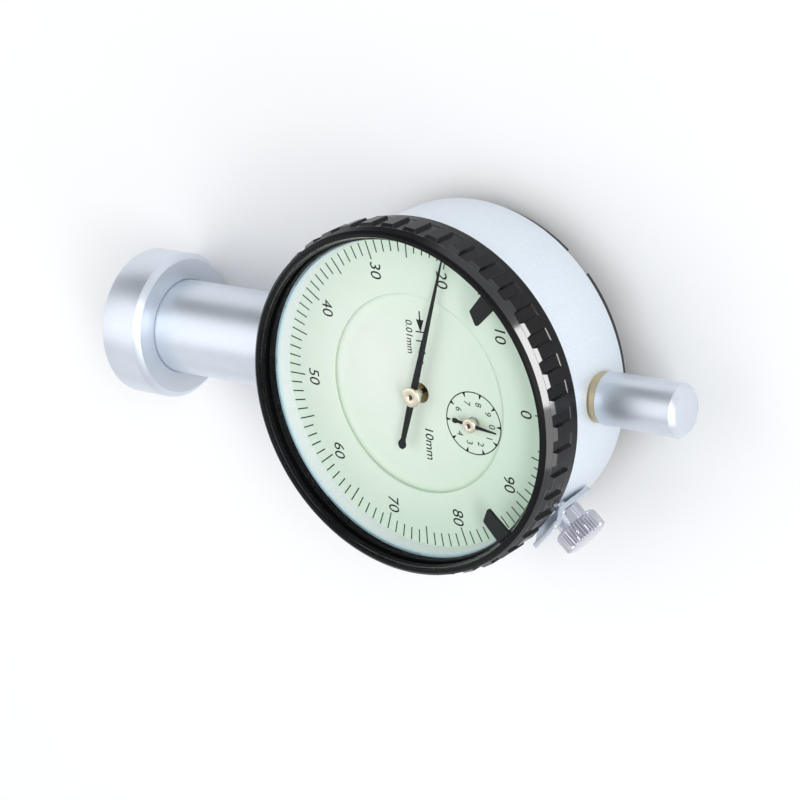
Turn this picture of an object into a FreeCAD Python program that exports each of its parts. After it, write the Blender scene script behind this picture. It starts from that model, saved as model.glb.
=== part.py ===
# Dial depth gauge, in millimetres.
# Origin: centre of the measuring face. +X runs along the spindle towards the cap, +Z out of the dial.
# The gauge lies on its back. A level is a height along Z, counted from the printed face of the dial.
import FreeCAD
import Part
import Sketcher
import math
import os
import re

os.makedirs("parts", exist_ok=True)
doc = FreeCAD.newDocument("depth_gauge")
Vector = FreeCAD.Vector

# Driving dimensions: alias, value, meaning. Radii and lengths in mm, angles in degrees.
SIZES = [
    ("dial_axis", 65.6, "dial axis, along the spindle from the measuring face"),
    ("movement_room", 1.2, "room between the hairspring and the top plate"),
    ("running_fit", 0.03, "radial clearance of a shaft that slides or turns"),
    ("seat_fit", 0.01, "radial clearance of a pressed or screwed piece"),
    ("free_gap", 0.3, "gap between neighbours that move past each other"),
    # Depth base and sleeve
    ("base_radius", 12.5, "depth base"),
    ("base_thickness", 8.0, "depth base along the spindle"),
    ("base_chamfer", 0.95, "chamfer of the base's upper edge"),
    ("base_edge", 0.25, "broken edge of the measuring face"),
    ("base_hole", 3.0, "hole that the rod passes in the base"),
    ("base_floor", 3.0, "web between the measuring face and the sleeve's socket"),
    ("socket_chamfer", 0.2, "chamfer at the mouth of the socket"),
    ("sleeve_radius", 8.0, "sleeve between the base and the gauge"),
    ("sleeve_relief", 5.6, "wide bore of the sleeve, below the stem"),
    ("sleeve_case_gap", 0.5, "gap between the sleeve's end and the case"),
    ("sleeve_screw", 1.5, "set screw that holds the sleeve on the stem"),
    ("sleeve_screw_back", 7.25, "set screw, from the upper end of the sleeve"),
    # Stem and bushes
    ("stem_radius", 4.0, "standard stem"),
    ("stem_start", 20.0, "free end of the stem"),
    ("stem_bore", 2.7, "bore of the stem"),
    ("stem_flange", 5.2, "flange of the stem inside the case"),
    ("stem_flange_width", 1.0, "thickness of that flange"),
    ("stem_bush_length", 6.0, "bush in the free end of the stem"),
    ("cap_bush_length", 5.8, "upper bush inside the case"),
    ("cap_bush_radius", 3.1, "upper bush where it passes the case and enters the cap"),
    ("cap_bush_collar", 4.0, "visible collar of the upper bush"),
    ("cap_bush_thread", 4.0, "length of the bush inside the cap"),
    ("cap_gap", 1.15, "root of the cap off the case"),
    ("cap_length", 13.9, "cap"),
    ("cap_radius", 4.2, "cap"),
    ("cap_chamfer", 0.8, "chamfer of the cap's end"),
    ("cap_wall", 1.2, "end wall of the cap"),
    ("cap_bore", 2.6, "inside of the cap"),
    ("spot_face", 4.3, "flat recess of the case round the upper bush"),
    ("spot_face_depth", 0.3, "depth of that recess"),
    # Spindle
    ("spindle_radius", 2.0, "spindle and rod"),
    ("travel_length", 10.2, "measuring travel with its overrun"),
    ("rod_joint", 12.0, "joint between spindle and rod"),
    ("cap_room", 2.1, "room left in the cap when the spindle is pushed in"),
    ("joint_stud", 1.25, "threaded stud between rod and spindle"),
    ("joint_stud_length", 5.0, "its length"),
    ("tip_stud", 0.8, "threaded stud of the contact point"),
    ("tip_length", 1.6, "contact point"),
    ("tip_radius", 1.5, "ball end of the contact point"),
    ("rack_margin", 1.7, "rack on the stem side of the travel"),
    ("rack_lead", 3.1, "rack on the cap side of the travel"),
    ("rack_pitch", 0.625, "rack pitch, which sets the module of the train"),
    # Gear train
    ("rack_pinion_teeth", 16, "pinion on the rack, one turn in 10 mm"),
    ("wheel_teeth", 100, "drive and take-up wheels"),
    ("center_pinion_teeth", 10, "centre pinion, one turn in 1 mm"),
    ("tooth_backlash", 0.09, "play at the pitch circle"),
    ("rack_pinion_side", 3.05, "rack pinion arbor, sideways of the spindle axis"),
    ("takeup_side", 3.47, "take-up arbor, sideways on the other side"),
    ("center_distance", 10.62, "from the centre arbor to each of the other two"),
    ("rack_pinion_length", 2.6, "length of the rack pinion"),
    ("wheel_rise", 0.5, "wheels in front of the centre bridge"),
    ("wheel_width", 0.8, "wheel thickness"),
    ("wheel_hub", 1.9, "hub radius of a wheel"),
    ("wheel_hub_width", 1.4, "hub height of a wheel"),
    ("wheel_window", 2.1, "round window in a wheel"),
    ("center_pinion_length", 1.9, "length of the centre pinion"),
    ("arbor_radius", 0.6, "arbors"),
    ("pivot_radius", 0.35, "pivots in the jewels"),
    ("pivot_fit", 0.03, "play of a pivot in its jewel"),
    ("jewel_radius", 1.0, "jewel bearing"),
    ("shoulder_gap", 0.1, "end play of an arbor between its jewels"),
    # Hairspring
    ("collet_radius", 1.1, "collet of the hairspring"),
    ("hairspring_inner", 1.35, "first coil of the hairspring"),
    ("hairspring_step", 0.8, "growth of the hairspring in one turn"),
    ("hairspring_turns", 6, "turns of the hairspring"),
    ("hairspring_thickness", 0.15, "hairspring strip"),
    ("hairspring_width", 0.8, "height of the hairspring strip"),
    ("stud_radius", 0.6, "stud that holds the hairspring"),
    # Movement frame
    ("plate_gap", 0.2, "movement plates off the screw bosses"),
    ("plate_thickness", 0.9, "movement plates"),
    ("plate_room", 1.8, "bottom plate in front of the back rim"),
    ("bridge_thickness", 0.6, "centre bridge"),
    ("bridge_width", 5.0, "centre bridge"),
    ("pillar_radius", 1.5, "pillars"),
    ("pillar_stud", 1.0, "upper part of a bridge pillar"),
    ("rivet_step", 0.2, "riveted end of a pillar, inside its stud"),
    ("bridge_overhang", 0.6, "bridge beyond its pillars"),
    ("pillar_set_in", 2.4, "pillars, from the rim of the plates"),
    ("small_screw", 0.6, "shank of the movement's screws"),
    ("small_head", 1.3, "head of the movement's screws"),
    ("small_head_height", 0.8, "head height of those screws"),
    ("small_screw_length", 3.0, "shank length of the screws in the pillars"),
    ("deck_screw_length", 2.4, "shank length of the screws in the deck"),
    ("thread_room", 0.2, "room beyond the end of a screw"),
    ("movement_screw_set_in", 1.9, "screws that hold the movement to the deck, from the rim of the plate"),
    ("movement_screw_angle", 15.0, "first of those three screws"),
    # Guide and return spring
    ("guide_pin_back", 7.1, "guide pin at rest, from the dial axis towards the stem"),
    ("guide_pin_radius", 0.75, "guide pin"),
    ("guide_pin_end", 8.0, "outer end of the guide pin, sideways of the spindle axis"),
    ("rail_near", 3.4, "guide rail, near face, sideways of the spindle axis"),
    ("rail_far", 5.2, "guide rail, far face"),
    ("rail_top", 1.6, "top of the guide rail above the spindle axis"),
    ("rail_margin", 1.8, "metal beyond each end of the rail's slot"),
    ("spring_side", 7.1, "return spring, sideways of the spindle axis"),
    ("post_set_in", 3.0, "post of the return spring, from the rim of the plate"),
    ("spring_radius", 1.15, "return spring, mean radius"),
    ("spring_wire", 0.22, "return spring, wire radius"),
    ("spring_turns", 9, "coils of the return spring"),
    ("spring_hook", 1.1, "eye at each end of the return spring"),
    # Case
    ("case_radius", 26.85, "case"),
    ("case_wall", 2.25, "wall of the case"),
    ("back_room", 1.6, "back rim of the case behind the stem's flange"),
    ("case_edge", 0.3, "broken edge of the back rim"),
    ("shoulder_room", 0.2, "shoulder of the case behind the bezel"),
    ("neck_step", 0.7, "step from the case to the neck that the bezel turns on"),
    ("deck_thickness", 2.0, "deck"),
    ("pad_depth", 1.0, "flat pad inside the case behind the stem"),
    ("boss_radius", 1.6, "screw bosses of the case"),
    ("boss_set_in", 1.4, "screw bosses, from the inside of the case"),
    ("boss_angle", 22.0, "first screw boss"),
    # Back cover
    ("cover_set_in", 1.15, "back cover, from the outside of the case"),
    ("cover_thickness", 1.9, "back cover"),
    ("cover_edge", 0.3, "broken edge of the back cover"),
    ("cover_dish", 0.4, "shallow dish in the back of the cover"),
    ("cover_rim", 6.7, "flat rim of the back cover"),
    ("notch_depth", 1.0, "pry notches of the back cover"),
    ("notch_width", 4.8, "pry notches of the back cover"),
    ("cover_screw", 0.8, "shank of the cover screws"),
    ("cover_screw_head", 1.7, "head of the cover screws"),
    ("cover_screw_length", 5.0, "length of the cover screws"),
    # Bezel
    ("bezel_wall", 1.9, "wall of the bezel between its teeth"),
    ("tooth_height", 0.5, "grip teeth of the bezel"),
    ("bezel_teeth", 43, "grip teeth of the bezel"),
    ("tooth_share", 0.47, "share of the pitch that a tooth takes"),
    ("tooth_slope", 0.12, "side slope of a tooth, as a share of the pitch"),
    ("tooth_phase", 6.89, "angle of the first tooth"),
    ("tooth_back", -0.4, "rear end of the teeth"),
    ("tooth_front", 4.1, "front end of the teeth"),
    ("bezel_back", -2.7, "rear face of the bezel"),
    ("lip_groove", 0.75, "groove between the teeth and the lip"),
    ("lip_outer_step", 0.2, "outer edge of the lip, from the bezel's side"),
    ("lip_outer_level", 5.6, "level of that edge"),
    ("lip_slope", 0.5, "slope from that edge to the flat lip"),
    ("lip_width", 0.5, "flat lip"),
    ("lip_level", 6.0, "front of the bezel"),
    ("ledge_width", 0.35, "ledge over the crystal"),
    ("throat_level", 3.55, "level of that foot"),
    ("bezel_fit", 0.05, "radial clearance of the bezel on the neck"),
    ("groove_lead", 0.15, "wall between the marker groove and the lip's inner edge"),
    ("marker_groove_low", 4.05, "lower side of that groove"),
    ("marker_groove_width", 0.8, "groove for the limit markers"),
    ("ring_groove_depth", 0.4, "groove of the snap ring, in the bezel and in the neck"),
    ("ring_strip", 0.5, "thickness of the snap ring and the dial clip"),
    ("ring_bottom", 0.1, "room between a ring and the bottom of its groove"),
    ("snap_ring_level", -2.1, "snap ring"),
    ("clip_ring_level", -0.8, "dial clip"),
    ("ring_opening", 14.0, "opening of the snap ring and the dial clip"),
    # Crystal, spacer and dial
    ("crystal_thickness", 0.95, "crystal"),
    ("dial_fit", 0.05, "radial clearance of crystal, spacer and dial ring in the bezel"),
    ("spacer_foot_width", 0.85, "spacer ring at the dial"),
    ("spacer_top_width", 0.45, "spacer ring at the crystal"),
    ("dial_thickness", 0.5, "dial ring and centre disc"),
    ("dial_ring_width", 9.8, "dial ring"),
    ("disc_overlap", 1.25, "centre disc under the dial ring"),
    ("center_disc_hole", 1.7, "hole at the main arbor"),
    ("small_arbor_hole", 1.1, "hole at the small hand"),
    ("dial_foot", 0.6, "feet of the centre disc"),
    ("dial_foot_place", 13.5, "feet, from the dial axis"),
    # Limit markers
    ("marker_angle", 46.0, "limit markers, either side of zero"),
    ("marker_half_width", 3.2, "half width of a marker, in degrees"),
    ("marker_length", 4.95, "long side of a marker, from its foot"),
    ("marker_length_short", 3.9, "short side of a marker, from its foot"),
    ("marker_tip_round", 0.35, "rounding of the tip's corners"),
    ("marker_foot_half", 8.0, "half width of a marker's foot, in degrees"),
    ("marker_foot_width", 0.4, "foot of a marker"),
    ("marker_foot_fit", 0.1, "foot of a marker off the bottom of its groove"),
    ("marker_rise", 0.15, "marker off the lower side of its groove"),
    ("marker_thickness", 0.5, "marker"),
    # Hands
    ("main_hand_angle", 72.0, "main hand at rest, at 20 on the dial"),
    ("main_hand_gap", 1.4, "tip of the main hand off the spacer ring"),
    ("main_hand_tip_width", 0.26, "main hand"),
    ("main_hand_root_width", 1.3, "main hand"),
    ("main_hand_tail", 9.6, "tail of the main hand"),
    ("main_hand_tail_width", 0.85, "tail of the main hand"),
    ("tail_head", 1.7, "length of the head that ends the tail"),
    ("tail_head_half", 0.72, "half width of that head"),
    ("main_hand_level", 1.0, "lower face of the main hand"),
    ("main_hub_radius", 1.5, "main hub, visible disc"),
    ("main_hub_sleeve", 1.0, "main hub, sleeve"),
    ("main_hub_bottom", -0.4, "lower end of the sleeve"),
    ("main_hub_top", 1.75, "top of the main hub"),
    ("hand_thickness", 0.2, "hands"),
    ("small_hand_angle", -7.34, "small hand at rest, at 0.2 on the small dial"),
    ("small_hand_tip", 4.9, "small hand"),
    ("small_hand_tip_width", 0.2, "small hand"),
    ("small_hand_root_width", 0.7, "small hand"),
    ("small_hand_tail", 3.3, "tail of the small hand"),
    ("small_tail_head", 0.95, "length of the head that ends the small tail"),
    ("small_hand_level", 0.1, "lower face of the small hand"),
    ("small_hub_radius", 1.0, "small hub, visible disc"),
    ("small_hub_sleeve", 0.85, "small hub, sleeve"),
    ("small_hub_bottom", -0.6, "lower end of the small sleeve"),
    ("small_hub_top", 0.65, "top of the small hub"),
    # Bezel clamp
    ("clamp_angle", -42.6, "clamp, round the dial axis from the cap"),
    ("clamp_screw_level", -8.45, "axis of the clamp screw"),
    ("clamp_sheet", 0.8, "sheet of the clamp bracket"),
    ("clamp_half_width", 3.2, "half width of the bracket"),
    ("clamp_offset", 0.7, "middle of the bracket, sideways of its screw"),
    ("clamp_corner", 0.8, "corner radius of the bracket"),
    ("clamp_bend", 1.0, "inner bend radius of the bracket"),
    ("clamp_leg_gap", 0.75, "inner leg off the case"),
    ("clamp_leg_back", -13.6, "rear end of the inner leg"),
    ("clamp_leg_front", -5.5, "front end of the inner leg"),
    ("clamp_arm_back", -2.9, "rear end of the outer arm"),
    ("clamp_arm_front", -1.7, "front end of the outer arm"),
    ("clamp_arm_gap", 0.55, "outer arm off the bezel's teeth"),
    ("clamp_shank", 1.25, "thread of the clamp screw"),
    ("clamp_neck", 2.6, "neck of the clamp screw"),
    ("clamp_neck_length", 2.15, "neck of the clamp screw"),
    ("clamp_head", 3.78, "knurled head of the clamp screw"),
    ("clamp_head_length", 3.2, "knurled head of the clamp screw"),
    ("clamp_dome", 0.35, "crown of the head"),
    ("knurl_depth", 0.2, "knurl of the head"),
    ("knurl_count", 40, "ridges of the knurl"),
]

sheet = doc.addObject("Spreadsheet::Sheet", "Sizes")
for row, (alias, value, meaning) in enumerate(SIZES, start=1):
    sheet.set("A%d" % row, alias)
    sheet.set("B%d" % row, str(value))
    sheet.set("C%d" % row, meaning)
    sheet.setAlias("B%d" % row, alias)
doc.recompute()

# Places that several pieces share
ON_DIAL = dict(x="dial_axis", z="dial_height")
RACK_MODULE = "(rack_pitch / pi)"
RACK_PINION_PITCH = "(%s * rack_pinion_teeth / 2)" % RACK_MODULE
WHEEL_MODULE = "(2 * center_distance / (wheel_teeth + center_pinion_teeth))"
WHEEL_PITCH = "(%s * wheel_teeth / 2)" % WHEEL_MODULE
ARBOR_OFFSET = "sqrt(center_distance ^ 2 - rack_pinion_side ^ 2)"
TAKEUP_OFFSET = "sqrt(center_distance ^ 2 - takeup_side ^ 2)"
MESH_ANGLE = "atan(rack_pinion_side / %s)" % ARBOR_OFFSET
TAKEUP_ANGLE = "atan(takeup_side / %s)" % TAKEUP_OFFSET
RACK_LINE = "(rack_pinion_side - %s)" % RACK_PINION_PITCH
CASE_INNER = "(case_radius - case_wall)"
BOTTOM_PLATE_TOP = "(bottom_plate_level + plate_thickness)"
DECK_BOTTOM = "(deck_level - deck_thickness)"
TOP_PLATE_BOTTOM = "(deck_level - deck_thickness - plate_thickness)"
RAIL_SLOT_START = "(guide_pin_x - guide_pin_radius - running_fit)"
RAIL_SLOT_END = "(guide_pin_x + travel_length + guide_pin_radius + running_fit)"

# Sizes that follow from the driving ones
FOLLOWS = {
    # heights, from the spindle up through the movement to the dial, and down to the back
    "dial_height": "spindle_radius + free_gap + bridge_thickness + wheel_rise + wheel_hub_width + free_gap"
                   " + hairspring_width + movement_room + plate_thickness + deck_thickness - deck_level",
    "deck_level": "-2 * dial_thickness - free_gap",
    "bridge_level": "spindle_radius + free_gap - dial_height",
    "wheel_level": "bridge_level + bridge_thickness + wheel_rise",
    "hairspring_level": "wheel_level + wheel_hub_width + free_gap",
    "case_back_level": "-dial_height - stem_flange - back_room",
    "bottom_plate_level": "case_back_level + plate_room",
    "shoulder_level": "bezel_back - shoulder_room",
    # along the spindle
    "cap_root": "case_radius + cap_gap",
    "cap_end": "cap_root + cap_length",
    "spindle_end": "dial_axis + cap_end - cap_wall - travel_length - cap_room",
    "rack_start": "dial_axis - %s - travel_length - rack_margin" % ARBOR_OFFSET,
    "rack_length": "travel_length + rack_margin + rack_lead",
    "guide_pin_x": "dial_axis - guide_pin_back",
    "spring_post_x": "dial_axis - plate_radius + post_set_in",
    "sleeve_end": "dial_axis - case_radius - sleeve_case_gap",
    "sleeve_screw_x": "sleeve_end - sleeve_screw_back",
    # inside the case, from the dial axis
    "pad_face": "%s - pad_depth" % CASE_INNER,
    "boss_place": "%s - boss_set_in" % CASE_INNER,
    "plate_radius": "boss_place - boss_radius - plate_gap",
    "pillar_place": "plate_radius - pillar_set_in",
    "movement_screw_place": "plate_radius - movement_screw_set_in",
    "cover_radius": "case_radius - cover_set_in",
    "cover_dish_radius": "cover_radius - cover_rim",
    # bezel and what it carries
    "neck_radius": "case_radius - neck_step",
    "bezel_bore": "neck_radius + bezel_fit",
    "bezel_radius": "bezel_bore + bezel_wall",
    "tooth_radius": "bezel_radius + tooth_height",
    "lip_outer": "bezel_radius - lip_outer_step",
    "lip_crest": "lip_outer - lip_slope",
    "lip_inner": "lip_crest - lip_width",
    "throat_radius": "bezel_bore - ledge_width",
    "crystal_edge": "bezel_bore - dial_fit",
    "spacer_foot": "crystal_edge - spacer_foot_width",
    "spacer_top": "crystal_edge - spacer_top_width",
    "dial_ring_inner": "crystal_edge - dial_ring_width",
    "center_disc_radius": "dial_ring_inner + disc_overlap",
    "main_hand_tip": "spacer_foot - main_hand_gap",
    "marker_groove": "lip_inner - groove_lead",
    "marker_groove_high": "marker_groove_low + marker_groove_width",
    "marker_level": "marker_groove_low + marker_rise",
    "marker_foot_outer": "marker_groove - marker_foot_fit",
    "marker_foot_inner": "marker_foot_outer - marker_foot_width",
    "marker_tip": "marker_foot_inner - marker_length",
    "marker_tip_short": "marker_foot_inner - marker_length_short",
}

NODES = []


def cells(expression):
    """Write a formula in terms of the sheet. Size names have an underscore, functions such as sqrt have none."""
    names = r"\b([a-z]+(?:_[a-z]+)+)\b"
    while any(name in FOLLOWS for name in re.findall(names, expression)):
        expression = re.sub(names, lambda m: "(%s)" % FOLLOWS[m[1]] if m[1] in FOLLOWS else m[1], expression)
    return re.sub(names, r"Sizes.\1", expression)


def read(expression):
    return float(reader.evalExpression(cells(expression)))


def bind(item, field, expression):
    item.setExpression(field, cells(expression))


def node(item, label):
    item.Label = label
    NODES.append(item)
    return item


def put(item, x="0", y="0", z="0", turn="0"):
    """Place a piece in the row's frame, turned about the vertical."""
    item.Placement = FreeCAD.Placement(Vector(), FreeCAD.Rotation(Vector(0, 0, 1), read(turn) or 0))
    for axis, expression in (("x", x), ("y", y), ("z", z)):
        if expression != "0":
            bind(item, "Placement.Base." + axis, expression)
    if turn != "0":
        bind(item, "Placement.Rotation.Angle", turn)


reader = doc.addObject("App::FeaturePython", "Reader")


def outline(body, name, plane, corners, offset=None):
    """A closed straight-sided sketch. Each corner is a pair of expressions tied to the sheet."""
    sketch = body.newObject("Sketcher::SketchObject", name)
    support = [f for f in body.Origin.OriginFeatures if f.Role == plane][0]
    sketch.AttachmentSupport = [(support, "")]
    sketch.MapMode = "FlatFace"
    if offset:
        bind(sketch, "AttachmentOffset.Base.z", offset)
    points = [Vector(read(across), read(up), 0) for across, up in corners]
    count = len(points)
    lines = [Part.LineSegment(points[i], points[(i + 1) % count]) for i in range(count)]
    sketch.addGeometry(lines, False)
    constraints = []
    bound = []
    for i, corner in enumerate(corners):
        constraints.append(Sketcher.Constraint("Coincident", i, 2, (i + 1) % count, 1))
        for kind, axis, expression, value in (
            ("DistanceX", -2, corner[0], points[i].x),
            ("DistanceY", -1, corner[1], points[i].y),
        ):
            if expression == "0":
                constraints.append(Sketcher.Constraint("PointOnObject", i, 1, axis))
            else:
                bound.append((len(constraints), expression))
                constraints.append(Sketcher.Constraint(kind, -1, 1, i, 1, value))
    sketch.addConstraint(constraints)
    for index, expression in bound:
        bind(sketch, "Constraints[%d]" % index, expression)
    return sketch


def new_body(name, place):
    body = doc.addObject("PartDesign::Body", name)
    put(body, **place)
    return body


def turned(name, axis, corners, place):
    """A piece turned about its own X (H_Axis, corners are length, radius) or Z (V_Axis, radius, level)."""
    body = new_body(name, place)
    sketch = outline(body, name + "_profile", "XZ_Plane", corners)
    turn = body.newObject("PartDesign::Revolution", name + "_turned")
    turn.Profile = sketch
    turn.ReferenceAxis = (sketch, [axis])
    turn.Angle = 360
    return body


def plate(name, corners, bottom, thickness, place):
    """A flat piece: an outline in plan, raised from its lower face."""
    body = new_body(name, place)
    sketch = outline(body, name + "_outline", "XY_Plane", corners, offset=bottom)
    pad = body.newObject("PartDesign::Pad", name + "_pad")
    pad.Profile = sketch
    bind(pad, "Length", thickness)
    return body


def boolean(kind, name, base, tools):
    """Part::Cut, Part::Fuse or Part::Common of a base with tools, one after the other."""
    result = base
    for number, tool in enumerate(tools):
        step = doc.addObject(kind, "%s_%s_%d" % (name, kind[6:].lower(), number))
        step.Base = result
        step.Tool = tool
        result = step
    return result


def cut(name, base, *tools):
    return boolean("Part::Cut", name, base, tools)


def fuse(name, base, *tools):
    return boolean("Part::Fuse", name, base, tools)


def disc(name, radius, bottom, top, place, bore="0"):
    """A washer or cylinder about the vertical."""
    if bore == "0":
        corners = [("0", bottom), (radius, bottom), (radius, top), ("0", top)]
    else:
        corners = [(bore, bottom), (radius, bottom), (radius, top), (bore, top)]
    return turned(name, "V_Axis", corners, place)


def rod(name, radius, start, end, place):
    """A plain rod along the piece's own X."""
    corners = [(start, "0"), (end, "0"), (end, radius), (start, radius)]
    return turned(name, "H_Axis", corners, place)


def box(name, low, high, place):
    """A block given by two opposite corners."""
    block = doc.addObject("Part::Box", name)
    put(block, **place)
    base = place.copy()
    for axis, field, a, b in zip("xyz", ("Length", "Width", "Height"), low, high):
        start = base.get(axis, "0")
        bind(block, "Placement.Base." + axis, "%s + (%s)" % (start, a))
        bind(block, field, "(%s) - (%s)" % (b, a))
    return block


def group(name, shapes):
    """Several separate solids in one node."""
    feature = doc.addObject("Part::Feature", name)
    feature.Shape = Part.makeCompound(shapes) if len(shapes) > 1 else shapes[0]
    return feature


def round_the_dial(x, y, z, shape):
    """A copy of a shape, moved by x, y, z from the centre of the dial's face."""
    copy = shape.copy()
    copy.translate(Vector(read("dial_axis") + x, y, read("dial_height") + z))
    return copy


def polar(radius, degrees):
    angle = math.radians(degrees)
    return radius * math.cos(angle), radius * math.sin(angle)


def revolved(corners):
    """A solid turned about Z from numbers: pairs of radius and level."""
    wire = Part.makePolygon([Vector(r, 0, z) for r, z in corners + corners[:1]])
    return Part.Face(wire).revolve(Vector(), Vector(0, 0, 1), 360)


# Depth base and sleeve
base_profile = [
    ("0", "base_hole"),
    ("0", "base_radius - base_edge"),
    ("base_edge", "base_radius"),
    ("base_thickness - base_chamfer", "base_radius"),
    ("base_thickness", "base_radius - base_chamfer"),
    ("base_thickness", "sleeve_radius + seat_fit + socket_chamfer"),
    ("base_thickness - socket_chamfer", "sleeve_radius + seat_fit"),
    ("base_floor", "sleeve_radius + seat_fit"),
    ("base_floor", "base_hole"),
]
node(turned("depth_base", "H_Axis", base_profile, {}), "depth_base")

sleeve_profile = [
    ("base_floor", "sleeve_relief"),
    ("base_floor", "sleeve_radius"),
    ("sleeve_end", "sleeve_radius"),
    ("sleeve_end", "stem_radius + seat_fit"),
    ("stem_start + 1", "stem_radius + seat_fit"),
    ("stem_start - 1", "sleeve_relief"),
]
sleeve = turned("sleeve", "H_Axis", sleeve_profile, {})
screw_place = dict(x="sleeve_screw_x")
screw_hole = disc("sleeve_screw_hole", "sleeve_screw + seat_fit", "-sleeve_radius - 1", "0", screw_place)
node(cut("sleeve_tube", sleeve, screw_hole), "sleeve_tube")
set_screw = disc("set_screw", "sleeve_screw", "0.5 - sleeve_radius", "-stem_radius - seat_fit", screw_place)
hexagon = doc.addObject("Part::Prism", "set_screw_socket")
hexagon.Polygon = 6
bind(hexagon, "Circumradius", "sleeve_screw / 2")
bind(hexagon, "Height", "sleeve_screw")
put(hexagon, x="sleeve_screw_x", z="0.4 - sleeve_radius")
node(cut("sleeve_set_screw", set_screw, hexagon), "sleeve_set_screw")

# Stem with its bush
PAD_FACE = "dial_axis - pad_face"
stem_profile = [
    ("stem_start", "stem_bore"),
    ("stem_start", "stem_radius - 0.4"),
    ("stem_start + 0.4", "stem_radius"),
    (PAD_FACE, "stem_radius"),
    (PAD_FACE, "stem_flange"),
    (PAD_FACE + " + stem_flange_width", "stem_flange"),
    (PAD_FACE + " + stem_flange_width", "stem_bore"),
]
node(turned("stem", "H_Axis", stem_profile, {}), "stem")
stem_bush_profile = [
    ("stem_start", "spindle_radius + running_fit"),
    ("stem_start", "stem_bore - seat_fit"),
    ("stem_start + stem_bush_length", "stem_bore - seat_fit"),
    ("stem_start + stem_bush_length", "spindle_radius + running_fit"),
]
node(turned("stem_bush", "H_Axis", stem_bush_profile, {}), "stem_bush")

# Upper bush and cap
COLLAR_START = "dial_axis + case_radius - spot_face_depth"
BUSH_START = "dial_axis + case_radius - case_wall - cap_bush_length + 2"
BUSH_END = "dial_axis + cap_root + cap_bush_thread"
cap_bush_profile = [
    (BUSH_START, "spindle_radius + running_fit"),
    (BUSH_START, "cap_bush_radius"),
    (COLLAR_START, "cap_bush_radius"),
    (COLLAR_START, "cap_bush_collar"),
    ("dial_axis + cap_root", "cap_bush_collar"),
    ("dial_axis + cap_root", "cap_bush_radius"),
    (BUSH_END, "cap_bush_radius"),
    (BUSH_END, "spindle_radius + running_fit"),
]
node(turned("cap_bush", "H_Axis", cap_bush_profile, {}), "cap_bush")
CAP_FLOOR = "dial_axis + cap_end - cap_wall"
cap_profile = [
    ("dial_axis + cap_root", "cap_bush_radius + seat_fit"),
    ("dial_axis + cap_root", "cap_radius - 0.15"),
    ("dial_axis + cap_root + 0.15", "cap_radius"),
    ("dial_axis + cap_end - cap_chamfer", "cap_radius"),
    ("dial_axis + cap_end", "cap_radius - cap_chamfer"),
    ("dial_axis + cap_end", "0"),
    (CAP_FLOOR, "0"),
    (CAP_FLOOR, "cap_bore"),
    (BUSH_END + " + seat_fit", "cap_bore"),
    (BUSH_END + " + seat_fit", "cap_bush_radius + seat_fit"),
]
node(turned("spindle_cap", "H_Axis", cap_profile, {}), "spindle_cap")

# Spindle with its rack, rod, contact point and guide pin
spindle_profile = [
    ("rod_joint", "joint_stud + seat_fit"),
    ("rod_joint", "spindle_radius"),
    ("spindle_end - 0.5", "spindle_radius"),
    ("spindle_end", "spindle_radius - 0.5"),
    ("spindle_end", "0"),
    ("rod_joint + joint_stud_length + 0.3", "0"),
    ("rod_joint + joint_stud_length + 0.3", "joint_stud + seat_fit"),
]
spindle_bar = turned("spindle_bar", "H_Axis", spindle_profile, {})


def rack_cutter():
    """What is milled off the spindle: a flat with the spaces between the rack teeth."""
    pitch = read("rack_pitch")
    module = read(RACK_MODULE)
    line = read(RACK_LINE)
    start = read("rack_start")
    teeth = round(read("rack_length / rack_pitch"))
    slope = math.tan(math.radians(20))
    half_space = (pitch + read("tooth_backlash")) / 4
    # a space faces the pinion at rest
    shift = (read("dial_axis - " + ARBOR_OFFSET) - start) % pitch
    points = [Vector(start, line + module, 0)]
    for tooth in range(teeth):
        middle = start + shift + tooth * pitch
        top = half_space + module * slope
        bottom = half_space - 1.2 * module * slope
        if middle - top < start:
            continue
        for along, depth in ((-top, module), (-bottom, -1.2 * module), (bottom, -1.2 * module), (top, module)):
            points.append(Vector(middle + along, line + depth, 0))
    end = points[-1].x + pitch
    points.append(Vector(end, line + module, 0))
    radius = read("spindle_radius")
    points.append(Vector(end, radius + 1, 0))
    points.append(Vector(start, radius + 1, 0))
    points.append(points[0])
    prism = Part.Face(Part.makePolygon(points)).extrude(Vector(0, 0, 2 * radius + 2))
    prism.translate(Vector(0, 0, -radius - 1))
    return prism


rack_tool = group("rack_tool", [rack_cutter()])
pin_hole = doc.addObject("Part::Cylinder", "guide_pin_hole")
bind(pin_hole, "Radius", "guide_pin_radius + seat_fit")
bind(pin_hole, "Height", "spindle_radius + 1")
pin_hole.Placement = FreeCAD.Placement(Vector(), FreeCAD.Rotation(Vector(1, 0, 0), 90))
bind(pin_hole, "Placement.Base.x", "guide_pin_x")
node(cut("spindle", spindle_bar, rack_tool, pin_hole), "spindle")

guide_pin = doc.addObject("Part::Cylinder", "guide_pin_rod")
bind(guide_pin, "Radius", "guide_pin_radius")
bind(guide_pin, "Height", "guide_pin_end")
guide_pin.Placement = FreeCAD.Placement(Vector(), FreeCAD.Rotation(Vector(1, 0, 0), 90))
bind(guide_pin, "Placement.Base.x", "guide_pin_x")
node(guide_pin, "guide_pin")

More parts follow.
